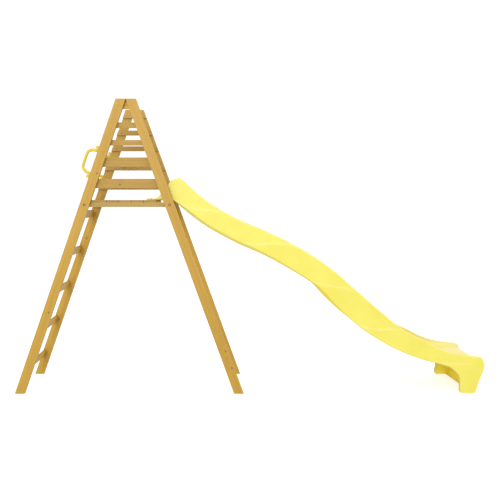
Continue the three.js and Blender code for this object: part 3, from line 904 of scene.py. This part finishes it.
for side, sign in SIDES.items():
    outer = Vector((0, sign, 0))
    for end in ENDS:
        for number in (1, 2, 3, 4):
            add_seat("guard_screws", f"guard_screw_{side}_{end}_{number}", -outer, PAN_HEIGHT)
        add_seat("bearer_bolts", f"bearer_bolt_{side}_{end}", outer, BOLT_HEAD_HEIGHT)
        add_seat("bearer_nuts", f"bearer_nut_{side}_{end}", -outer, NUT_HEIGHT)
    for number in (1, 2):
        add_seat("grip_screws", f"grip_screw_{side}_{number}", outward, PAN_HEIGHT)
    add_seat("flange_screws", f"flange_screw_{side}", Vector((0, 0, 1)), PAN_HEIGHT)
for name, length in SCREW_LENGTHS.items():
    nodes, seats = fasteners[name]
    set_out_fasteners(name, pan_head(length), SCREW_SIDES, seats, nodes)
nodes, seats = fasteners["bearer_bolts"]
bolt = carriage_bolt(box_of(nodes[0])[1].y / MM - BOLT_HEAD_HEIGHT)
set_out_fasteners("bearer_bolts", bolt, BOLT_SIDES, seats, nodes, metal=bolt_zinc)
nodes, seats = fasteners["bearer_nuts"]
set_out_fasteners(
    "bearer_nuts", hex_nut(), BOLT_SIDES, seats, nodes, hollow=True, spin=1.0, metal=bolt_zinc
)

# %% Countersunk screws of the gussets and the platform
# Two rows below the top, set in from the gusset's slanted edges, and two screws in each end of a board.
GUSSET_SCREW, DECK_SCREW = 32, 30
GUSSET_ROWS, GUSSET_INSET = (0.018, 0.052), 0.037
DECK_SCREW_SHARE = 0.28
gusset_seats, deck_seats = [], []
for side, sign in SIDES.items():
    middle, size = box_of(f"gusset_{side}")
    inner_y = middle.y - sign * size.y / 2
    for z in (tower_height - row for row in GUSSET_ROWS):
        reach = size.x / 2 - (z - (middle.z - size.z / 2)) * math.tan(lean) - GUSSET_INSET
        for end in (-1, 1):
            gusset_seats.append((Vector((middle.x + end * reach, inner_y, z)), Vector((0, -sign, 0))))
    bearer_y = box_of(f"bearer_{side}")[0].y
    for number in range(1, 7):
        middle, size = box_of(f"deck_board_{number}")
        for end in (-1, 1):
            place = Vector((middle.x + end * size.x * DECK_SCREW_SHARE, bearer_y, deck_top))
            deck_seats.append((place, Vector((0, 0, 1))))
set_out_fasteners("gusset_screws", flat_head(GUSSET_SCREW), SCREW_SIDES, gusset_seats)
set_out_fasteners("deck_screws", flat_head(DECK_SCREW), SCREW_SIDES, deck_seats)

# %% [markdown]
# ## The hand grips
# Each grip is one glossy moulding: a bar with finger grooves, bent back at both ends to a flat pad with a
# round end, held by a screw in a raised collar. It could be a curve with a bevel, but then the bar would
# meet its pads in a hard line. Here the bar is swept along a smooth route in code, the pads and collars
# are drawn beside it, and a voxel remesh melts them into one skin; a few passes of smoothing leave the
# fillets that a mould has.

# %% The grip's sizes, in millimetres
GRIP_LENGTH, GRIP_STAND_OFF, GRIP_BAR = 252, 81, 23
PAD_LENGTH, PAD_WIDTH, PAD_THICKNESS = 48, 33, 7
FINGER_PITCH, FINGER_DEPTH = 19, 6.0
PAD_SCREW_OFFSET, COLLAR_BORE, COLLAR_RADIUS = 13, 5.6, 11
COLLAR_FOOT, COLLAR_SHOULDER, COLLAR_TOP, COLLAR_EASED = 3, 21, 23, 1.6
PAD_SIDES = 32
VOXEL, SMOOTH_PASSES = 1.4, 6
# In metres: the grip's middle over the platform, and the gap under the grips and the slide.
GRIP_ABOVE_DECK = 0.282
SEAT_GAP = 0.0003
along_leg = Vector((math.sin(lean), 0, math.cos(lean)))


def catmull_rom(points, steps):
    """A smooth line through points, with even steps between each two of them."""
    knots = [np.array(point, float) for point in points]
    line = []
    for index in range(len(knots) - 1):
        before = knots[max(index - 1, 0)]
        start, stop = knots[index], knots[index + 1]
        after = knots[min(index + 2, len(knots) - 1)]
        for step in range(steps):
            t = step / steps
            lead, trail = (stop - before) / 2, (after - start) / 2
            line.append(
                (2 * start - 2 * stop + lead + trail) * t ** 3
                + (-3 * start + 3 * stop - 2 * lead - trail) * t ** 2 + lead * t + start
            )
    return np.array(line + [knots[-1]])


def join_rings(shape, rings, ends=False):
    """Quads between each ring of vertices and the next, with a cap at both ends or from last to first."""
    for one, other in zip(rings, rings[1:] + ([] if ends else rings[:1])):
        for index in range(len(one)):
            after = (index + 1) % len(one)
            shape.faces.new((one[index], one[after], other[after], other[index]))
    if ends:
        shape.faces.new(reversed(rings[0]))
        shape.faces.new(rings[-1])


# %% The grip's bar, pads and collars
def sweep(shape, line, radius_of, sides=20):
    """A closed tube round a line of points in bmesh; radius_of gives the reach at (step, angle)."""
    rings = []
    for step, point in enumerate(line):
        ahead = line[min(step + 1, len(line) - 1)] - line[max(step - 1, 0)]
        tangent = Vector(ahead).normalized()
        side_way = Vector((0, 1, 0))
        up = tangent.cross(side_way).normalized()
        ring = []
        for index in range(sides):
            angle = 2 * math.pi * index / sides
            reach = radius_of(step, angle)
            offset = (up * math.cos(angle) + side_way * math.sin(angle)) * reach
            ring.append(shape.verts.new(Vector(point) + offset))
        rings.append(ring)
    join_rings(shape, rings, ends=True)


def add_pad(shape, middle, along, out, wide):
    """A flat pad with round ends and an eased upper edge."""
    straight = (PAD_LENGTH - PAD_WIDTH) / 2 * MM
    rings = []
    for inset, height in ((0, 0), (0, 0.7), (0.5, 0.92), (1.6, 1.0)):
        ring = []
        for index in range(PAD_SIDES):
            angle = 2 * math.pi * index / PAD_SIDES
            reach = (PAD_WIDTH / 2 - inset) * MM
            shift = straight if math.cos(angle) >= 0 else -straight
            place = middle + along * (shift + reach * math.cos(angle)) + wide * (reach * math.sin(angle))
            ring.append(shape.verts.new(place + out * (PAD_THICKNESS * MM * height)))
        rings.append(ring)
    join_rings(shape, rings, ends=True)


def add_collar(shape, middle, along, out, wide):
    """The raised ring round a pad's screw: it hides the screw's head from small hands."""
    profile = [
        (COLLAR_BORE, COLLAR_FOOT), (COLLAR_BORE, COLLAR_SHOULDER),
        (COLLAR_BORE + COLLAR_EASED, COLLAR_TOP), (COLLAR_RADIUS - COLLAR_EASED, COLLAR_TOP),
        (COLLAR_RADIUS, COLLAR_SHOULDER), (COLLAR_RADIUS, COLLAR_FOOT),
    ]
    rings = []
    for index in range(PAD_SIDES):
        angle = 2 * math.pi * index / PAD_SIDES
        way = along * math.cos(angle) + wide * math.sin(angle)
        rings.append([
            shape.verts.new(middle + way * (reach * MM) + out * (height * MM)) for reach, height in profile
        ])
    join_rings(shape, rings)


def make_grip(side):
    middle, _ = box_of(f"hand_grip_{side}")
    edge_z = deck_top + GRIP_ABOVE_DECK
    origin = Vector((leg_low.x + edge_z * math.tan(lean), middle.y, edge_z)) + outward * SEAT_GAP
    bar = GRIP_STAND_OFF - GRIP_BAR / 2
    reach = GRIP_LENGTH / 2 - PAD_LENGTH + GRIP_BAR / 2
    half_route = [
        (reach * 0.36, bar), (reach * 0.72, bar - 5), (reach - 6, 42), (reach - 1, 20), (reach, 3),
    ]
    route = [(-place, out) for place, out in reversed(half_route)] + half_route
    flat_line = catmull_rom(route, 20)
    line = [origin + along_leg * (a * MM) + outward * (b * MM) for a, b in flat_line]

    def radius_of(step, angle):
        along, out = flat_line[step]
        groove = 0.5 + 0.5 * math.cos(2 * math.pi * along / FINGER_PITCH)
        # The grooves are full on the straight bar and fade out where it bends back.
        on_bar = max(0.0, min(1.0, (bar - 2 - abs(bar - out) * 3 - 40) / 20))
        inner = max(0.0, -math.cos(angle))
        return (GRIP_BAR / 2 - FINGER_DEPTH * groove * on_bar * inner) * MM

    shape = bmesh.new()
    sweep(shape, line, radius_of)
    for turn in (-1, 1):
        seat = origin + along_leg * (turn * (GRIP_LENGTH - PAD_LENGTH) / 2 * MM)
        add_pad(shape, seat, along_leg, outward, Vector((0, 1, 0)))
        screw = seat + along_leg * (turn * PAD_SCREW_OFFSET * MM)
        add_collar(shape, screw, along_leg, outward, Vector((0, 1, 0)))
    bmesh.ops.recalc_face_normals(shape, faces=shape.faces)
    parts = bpy.data.objects.new("grip_parts", mesh_from(shape, "grip_parts"))
    bpy.context.scene.collection.objects.link(parts)
    melt = parts.modifiers.new("melt", "REMESH")
    melt.mode, melt.voxel_size = "VOXEL", VOXEL * MM
    soften = parts.modifiers.new("soften", "SMOOTH")
    soften.factor, soften.iterations = 0.5, SMOOTH_PASSES
    skin = bpy.data.meshes.new_from_object(parts.evaluated_get(bpy.context.evaluated_depsgraph_get()))
    bpy.data.objects.remove(parts)
    skin.shade_smooth()
    skin.materials.clear()
    skin.materials.append(grip_plastic)
    grip = bpy.data.objects.new(f"grip_{side}", skin)
    finish_piece(grip, [f"hand_grip_{side}"])
    print(grip.name, len(skin.polygons), "faces", [round(v, 3) for v in grip.dimensions])


for side in SIDES:
    make_grip(side)

# %% [markdown]
# ## The wavy slide
# The slide is one hollow moulding: a U-shaped trough whose side rails end in a rolled rim at the top and a
# thick rounded lip below. It starts as a flat flange screwed to the platform, climbs into a rounded crown
# at the child's hands, runs down in two waves, and closes at the exit in a round nose with an apron that
# stands on the ground between two feet. It could be bevelled out of the CAD solid, or sculpted; here it is
# lofted. Two smooth lines give its side view, one along the rim and one along the lower edge. At each
# station a closed U section is drawn between them, and all the sections are joined into one skin.

# %% The slide's side view
# Each point is (distance past the slide-side legs, drop below the platform), in millimetres.
TOP_LINE = [
    (-204, -13.3), (-165, -13.3), (-136, -14), (-98, -42), (-66, -84), (-38, -120), (-10, -150),
    (33, -166), (68, -158), (134, -97), (225, -18), (317, 46), (500, 148), (684, 226), (869, 310),
    (1055, 415), (1242, 545), (1431, 708), (1621, 872), (1796, 1011), (1978, 1101), (2079, 1152),
    (2179, 1188), (2280, 1208), (2387, 1218),
]
NOSE_LINE = [
    (2387, 1218), (2417, 1236), (2429, 1281), (2422, 1318), (2383, 1416), (2365, 1470), (2358, 1491),
    (2342, 1500),
]
ARCH_LINE = [
    (2040, 1267), (2100, 1284), (2150, 1301), (2195, 1334), (2222, 1368), (2231, 1410), (2227, 1470),
    (2234, 1492), (2250, 1500),
]
LOWER_LINE = [
    (-204, 0), (-126, 0), (-26, 0), (6, 12), (43, 38), (134, 114), (225, 181), (317, 239), (500, 336),
    (685, 416), (870, 515), (1056, 628), (1150, 701), (1244, 802), (1338, 892), (1433, 973),
    (1528, 1042), (1717, 1151), (1906, 1229), (2040, 1267),
]
FLANGE_START, ARCH_START, NOSE_START = -204, 2040, 2387
slide_low, slide_high = (Vector(corner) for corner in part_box("slide"))
start_x = slide_low.x / MM - FLANGE_START
print("slide box", [round(v, 3) for v in slide_low], [round(v, 3) for v in slide_high])


def by_distance(line, distances):
    """Drops of a line at the given distances."""
    order = np.argsort(line[:, 0])
    return np.interp(distances, line[order, 0], line[order, 1])


def by_share(line, shares):
    """Points at even shares of a line's own length."""
    steps = np.hypot(*np.diff(line, axis=0).T)
    length = np.concatenate([[0], np.cumsum(steps)])
    length /= length[-1]
    return np.column_stack([np.interp(shares, length, line[:, axis]) for axis in (0, 1)])


# %% Pair the two lines station by station
# Along the rails a station joins two points at one distance. Round the foot it joins two points at one
# share of their own lines, because the lines turn down there.
RAIL_STATIONS, FOOT_STATIONS = 262, 84
STEPS = 16
top_line = catmull_rom(TOP_LINE, STEPS)
lower_line = catmull_rom(LOWER_LINE, STEPS)
rim_after = np.vstack([top_line[top_line[:, 0] > ARCH_START], catmull_rom(NOSE_LINE, STEPS)[1:]])
distances = np.linspace(FLANGE_START, ARCH_START, RAIL_STATIONS)
rail_top = np.column_stack([distances, by_distance(top_line, distances)])
rail_low = np.column_stack([distances, by_distance(lower_line, distances)])
shares = np.linspace(0, 1, FOOT_STATIONS + 1)[1:]
foot_top = by_share(np.vstack([rail_top[-1:], rim_after]), shares)
foot_low = by_share(catmull_rom(ARCH_LINE, STEPS), shares)
tops = np.vstack([rail_top, foot_top])
lows = np.vstack([rail_low, foot_low])
heights = np.hypot(*(tops - lows).T)
print("stations", len(tops), "rail height", round(heights.min(), 1), "to", round(heights.max(), 1))

# %% Where the chute lies between them
# The chute's floor keeps a set height over the lower edge, runs level to the exit, turns over a rolled
# lip set back from the nose, and goes down to the ground as the apron. Its height is a share of each
# section, smoothed so that it has no kink.
FLOOR_LIFT, FLOOR_SLIP, FLOOR_STEPS = 42, 15, 12
# The least height of the rails, and of the foot's sides, over the floor.
RAIL_PROUD, FOOT_PROUD = 1.6, 4.5
SMOOTHING = 4
ENTRY_LINE = [(-300, -13), (-204, -13), (-60, -13), (-10, -8)]
EXIT_LINE = [(2200, 1246), (2300, 1243), (2376, 1238)]
APRON_LINE = [
    (2376, 1238), (2399, 1254), (2409, 1284), (2403, 1322), (2383, 1416), (2365, 1470), (2358, 1491),
    (2340, 1510),
]
waves = [(distance + FLOOR_SLIP, drop - FLOOR_LIFT) for distance, drop in LOWER_LINE[4:]]
chute_line = np.vstack([
    catmull_rom(ENTRY_LINE + waves + EXIT_LINE, FLOOR_STEPS), catmull_rom(APRON_LINE, FLOOR_STEPS)[1:],
])


def cross(one, other):
    return one[..., 0] * other[..., 1] - one[..., 1] * other[..., 0]


def floor_share(low, top):
    """How far up the section from low to top the chute's floor crosses it."""
    way, steps, gap = top - low, np.diff(chute_line, axis=0), chute_line[:-1] - low
    turn = cross(way, steps)
    turn = np.where(np.abs(turn) < 1e-9, 1e-9, turn)
    up, along = cross(gap, steps) / turn, cross(gap, way) / turn
    hits = up[(along >= 0) & (along <= 1) & (up >= 0) & (up <= 1)]
    return hits.min() if len(hits) else 1.0


floor_shares = np.array([floor_share(low, top) for low, top in zip(lows, tops)])
proud = np.where(np.arange(len(tops)) < RAIL_STATIONS, RAIL_PROUD, FOOT_PROUD)
floors = np.minimum(floor_shares * heights, heights - proud)
kernel = np.hanning(2 * SMOOTHING + 3)[1:-1]
kernel /= kernel.sum()
floors = np.convolve(np.pad(floors, SMOOTHING, mode="edge"), kernel, mode="valid")
floors = np.minimum(floors, heights - proud)
print("chute floor", round(floors.min(), 1), "to", round(floors.max(), 1), "mm over the lower edge")

# %% The slide's width
TOP_HALF_WIDTH, RIM_FLARE, TOP_DRAFT, FOOT_DRAFT, REACH = 237.7, 12, 0.02, 0.125, 2429
FLANGE_INSET, INSET_START, INSET_FADE = 8, -98, 50


def half_width(distance, drop):
    """Half the width at a point of the side: it widens to the exit and leans out towards the foot."""
    share = np.clip(distance / REACH, 0, 1)
    draft = TOP_DRAFT + (FOOT_DRAFT - TOP_DRAFT) * share ** 3
    below = np.maximum(0, drop - by_distance(top_line, np.minimum(distance, NOSE_START)))
    inset = FLANGE_INSET * np.clip((INSET_START - distance) / INSET_FADE, 0, 1)
    return TOP_HALF_WIDTH + RIM_FLARE * share + draft * below - inset


# %% The raised swooshes on the rails
# Five shallow steps run from the lower edge up to the rim, one after the other. Below each line the wall
# stands proud by a few millimetres, then falls back, so that the step itself faces up and catches light.
SWOOSHES = [
    [(38, 23), (130, 61), (206, 76), (282, 79), (358, 94), (404, 114)],
    [(480, 312), (558, 335), (664, 338), (780, 332), (895, 343), (972, 374)],
    [(1052, 613), (1114, 640), (1208, 660), (1300, 675), (1361, 687), (1424, 738)],
    [(1430, 949), (1492, 984), (1570, 1001), (1664, 999), (1772, 1007)],
    [(2030, 1250), (2108, 1265), (2202, 1270), (2342, 1270)],
]
SWOOSH_DEPTH, SWOOSH_STEP, SWOOSH_FALL, SWOOSH_FADE = 3.2, 7.0, 46.0, 60.0
swoosh_lines = [catmull_rom(points, 10) for points in SWOOSHES]


def swoosh_relief(distance, drop):
    """How far the wall stands proud at each point, and how near the point is to a step."""
    relief, edge = np.zeros_like(distance), np.zeros_like(distance)
    for line in swoosh_lines:
        below = drop - np.interp(distance, line[:, 0], line[:, 1])
        step = np.clip((below + SWOOSH_STEP / 2) / SWOOSH_STEP, 0, 1)
        step = step * step * (3 - 2 * step)
        ends = np.minimum(distance - line[0, 0], line[-1, 0] - distance)
        ends = np.clip(ends / SWOOSH_FADE, 0, 1)
        fall = np.exp(-np.maximum(0, below) / SWOOSH_FALL)
        relief = np.maximum(relief, SWOOSH_DEPTH * step * fall * ends)
        edge = np.maximum(edge, np.exp(-(below / SWOOSH_STEP) ** 2) * ends)
    return relief, edge


# %% One U section, from the middle of the chute round the rail to the middle of the underside
WALL, FLOOR_THICKNESS, FILLET = 16, 9, 20
# Between two distances the fillet of floor and rail grows into the wide sweep of the exit.
EXIT_SWEEP, EXIT_RISE, EXIT_FROM = 120, 70, (1750, 2250)
# The height of the rounded lower lip at some distances.
LIP_HEIGHTS = [(-204, 3), (40, 12), (120, 27), (570, 25), (1024, 12), (1340, 7), (2000, 5), (2200, 8)]
FLOOR_ROWS, FILLET_ROWS, INNER_ROWS, RIM_ROWS, WALL_ROWS, LIP_ROWS, SKIRT_ROWS, UNDER_ROWS = (
    8, 6, 6, 7, 44, 8, 5, 5
)


def arc(rows):
    angle = np.linspace(0, math.pi / 2, rows + 1)[1:]
    return np.sin(angle), np.cos(angle)


def half_section(station):
    """Rows of (kind, value, height up the section) on the +Y side.

    The value is the offset inwards from the outer face; for the floor and the underside it is the share
    of their half width. Where a section is low, its lip, crown and fillet shrink with it.
    """
    height, floor = heights[station], floors[station]
    distance = lows[station][0]
    lip = min(float(np.interp(distance, *zip(*LIP_HEIGHTS))), height * 0.4)
    depth = min(WALL * 0.8, lip)
    wall_rise = height - floor
    crown_in = min(WALL / 2, wall_rise * 0.45)
    crown_out = min(WALL / 2, height * 0.42)
    sweep_in = float(np.interp(distance, EXIT_FROM, (FILLET, EXIT_SWEEP)))
    sweep_up = float(np.interp(distance, EXIT_FROM, (FILLET, EXIT_RISE)))
    fillet = min(sweep_up, wall_rise - crown_in) if wall_rise > 2 else wall_rise * 0.4
    rows = [("floor", share, floor) for share in np.linspace(0, 1, FLOOR_ROWS + 1)]
    for rise, away in zip(*arc(FILLET_ROWS)):
        rows.append(("in", WALL + sweep_in * (1 - rise), floor + fillet * (1 - away)))
    top_of_inner = height - crown_in
    for share in np.linspace(0, 1, INNER_ROWS + 1)[1:]:
        rows.append(("in", WALL, floor + fillet + (top_of_inner - floor - fillet) * share))
    for rise, away in zip(*arc(RIM_ROWS)):
        rows.append(("rim", WALL - WALL / 2 * (1 - away), top_of_inner + crown_in * rise))
    for rise, away in zip(*arc(RIM_ROWS)):
        rows.append(("rim", WALL / 2 * (1 - rise), height - crown_out * (1 - away)))
    for share in np.linspace(0, 1, WALL_ROWS + 1)[1:]:
        rows.append(("out", 0.0, (height - crown_out) * (1 - share) + lip * share))
    for rise, away in zip(*arc(LIP_ROWS)):
        rows.append(("lip", depth * (1 - away), lip * (1 - rise)))
    under = max(floor - FLOOR_THICKNESS, 1.0)
    corner = min(6.0, under * 0.3)
    for share in np.linspace(0, 1, SKIRT_ROWS + 1):
        rows.append(("in", WALL, corner * 0.3 + (under - corner * 0.3) * share))
    rows += [("under", 1 - share, under) for share in np.linspace(0, 1, UNDER_ROWS + 1)[1:]]
    return rows


sections = [half_section(station) for station in range(len(tops))]
row_count = len(sections[0])
print("rows in half a section", row_count, {len(rows) for rows in sections})

# %% Loft the sections into one skin
# How strong the painted highlight on a swoosh's step is, and how much of the chute's polish and painted
# light the rails' inner faces take beside the chute's floor.
STEP_HIGHLIGHT, INNER_POLISH_AND_LIGHT = 0.7, 0.7


def station_points(station):
    """Half a section: its places in the side view, its half widths, and the marks its material reads."""
    low, top = lows[station], tops[station]
    way = (top - low) / heights[station]
    rows = sections[station]
    rise = np.array([row[2] for row in rows])
    flat = low + np.outer(rise, way)
    outer = half_width(flat[:, 0], flat[:, 1])
    floor_edge = outer - WALL - np.interp(low[0], EXIT_FROM, (FILLET, EXIT_SWEEP))
    across = np.empty(len(rows))
    for index, (kind, value, _) in enumerate(rows):
        if kind == "floor":
            across[index] = value * floor_edge[index]
        elif kind == "under":
            across[index] = value * (outer[index] - WALL)
        else:
            across[index] = outer[index] - value
    kinds = np.array([row[0] for row in rows])
    relief, edge = swoosh_relief(flat[:, 0], flat[:, 1])
    across += np.where(kinds == "out", relief, 0)
    marks = {name: np.zeros(len(rows)) for name in SLIDE_MARKS}
    # The marks put painted highlight on the rim and the swooshes' steps, polish and painted light on the
    # chute, painted shade on the lower lip and painted light on the underside.
    marks["rim"] = np.maximum(kinds == "rim", np.where(kinds == "out", edge * STEP_HIGHLIGHT, 0))
    marks["chute"][:FLOOR_ROWS + FILLET_ROWS + INNER_ROWS + 1] = INNER_POLISH_AND_LIGHT
    marks["chute"][:FLOOR_ROWS + 1] = 1.0
    marks["lip"][kinds == "lip"] = 1.0
    marks["underside_painted_light"][-(SKIRT_ROWS + UNDER_ROWS):] = 1.0
    return flat, across, np.column_stack(list(marks.values()))


run = np.concatenate([[0], np.cumsum(np.hypot(*np.diff(lows * 0.5 + tops * 0.5, axis=0).T))]) * MM
seat_z = deck_top + SEAT_GAP
points, marks_read, run_marks = [], [], []
for station in range(len(tops)):
    flat, across, marks = station_points(station)
    order = list(range(row_count)) + list(range(row_count - 2, 0, -1))
    signs = [1] * row_count + [-1] * (row_count - 2)
    for index, sign in zip(order, signs):
        x = min((start_x + flat[index, 0]) * MM, slide_high.x)
        z = max(seat_z - flat[index, 1] * MM * seat_z / deck_top, 0)
        points.append((x, sign * across[index] * MM, z))
        marks_read.append(marks[index])
        run_marks.append((run[station], sign * across[index] * MM, 0.0))
ring = 2 * row_count - 2
faces = []
for station in range(len(tops) - 1):
    base, after = station * ring, (station + 1) * ring
    for index in range(ring):
        follow = (index + 1) % ring
        faces.append((base + index, base + follow, after + follow, after + index))
faces.append(tuple(range(ring)))
faces.append(tuple(reversed(range((len(tops) - 1) * ring, len(tops) * ring))))
skin = bpy.data.meshes.new("slide_skin")
skin.from_pydata(points, [], faces)
for label, values in zip(SLIDE_MARKS, np.array(marks_read).T):
    skin.attributes.new(label, "FLOAT", "POINT").data.foreach_set("value", values.copy())
flat_run = [value for mark in run_marks for value in mark]
skin.attributes.new("run", "FLOAT_VECTOR", "POINT").data.foreach_set("vector", flat_run)
shape = bmesh.new()
shape.from_mesh(skin)
bmesh.ops.triangulate(shape, faces=[face for face in shape.faces if len(face.verts) > 4])
bmesh.ops.recalc_face_normals(shape, faces=shape.faces)
shape.to_mesh(skin)
shape.free()
skin.shade_smooth()
skin.set_sharp_from_angle(angle=math.radians(50))
skin.materials.append(slide_plastic)
slide = bpy.data.objects.new("slide_moulding", skin)
finish_piece(slide, ["slide"])
print("slide faces", len(skin.polygons), [round(v, 3) for v in slide.dimensions])

# %% [markdown]
# ## Floor and light
# The object stands in a white studio: a pale floor without a pattern and light from all round, with one
# large soft lamp in front and a weaker one above. Hard lamps would draw shadows that hide the far frame.
# A bright world with broad area lamps keeps the shading gentle, and only the contact shadows under the
# feet stay. The floor gives some light of its own, so that it comes out white.

# %% Floor
FLOOR_REACH, FLOOR_GLOW, FLOOR_ROUGHNESS = 40, 0.66, 0.7
floor_mesh = bpy.data.meshes.new("studio_floor")
corners = [(x * FLOOR_REACH, y * FLOOR_REACH, 0) for x, y in ((-1, -1), (1, -1), (1, 1), (-1, 1))]
floor_mesh.from_pydata(corners, [], [(0, 1, 2, 3)])
floor_material, floor_tree, floor_shader = new_material("pale_floor")
floor_cloud = stretched_noise(floor_tree, object_place(floor_tree), (0.6, 0.6, 0.6))
floor_cloud = fade(floor_tree, floor_cloud, 0.3, 0.7)
floor_colour = mix_colour(floor_tree, floor_cloud, linear(174, 174, 174), linear(180, 180, 180))
floor_tree.links.new(floor_colour, floor_shader.inputs["Base Color"])
floor_shader.inputs["Roughness"].default_value = FLOOR_ROUGHNESS
floor_shader.inputs["Emission Color"].default_value = (1, 1, 1, 1)
floor_shader.inputs["Emission Strength"].default_value = FLOOR_GLOW
floor_mesh.materials.append(floor_material)
studio_floor = bpy.data.objects.new("studio_floor", floor_mesh)
bpy.context.scene.collection.objects.link(studio_floor)

# %% World and lamps
WORLD_LIGHT = 1.08
# Each lamp's place, the point it is aimed at, its diameter in metres and its power in watts.
LAMPS = {
    "key_softbox": ((-2.0, -11.0, 4.6), (0, 0, 1.0), 6.0, 920),
    "top_softbox": ((1.0, 0.5, 6.0), (0.4, 0, 0.5), 3.0, 60),
}
world = bpy.data.worlds.new("studio")
world.use_nodes = True
world.node_tree.nodes["Background"].inputs["Color"].default_value = (1, 1, 1, 1)
world.node_tree.nodes["Background"].inputs["Strength"].default_value = WORLD_LIGHT
bpy.context.scene.world = world
bpy.context.scene.view_settings.view_transform = "Standard"
for name, (place, aim, size, power) in LAMPS.items():
    data = bpy.data.lights.new(name, "AREA")
    data.shape, data.size, data.energy = "DISK", size, power
    lamp = bpy.data.objects.new(name, data)
    lamp.location = place
    lamp.rotation_euler = (Vector(aim) - Vector(place)).to_track_quat("-Z", "Y").to_euler()
    bpy.context.scene.collection.objects.link(lamp)
print("lamps", [light.name for light in bpy.data.lights])
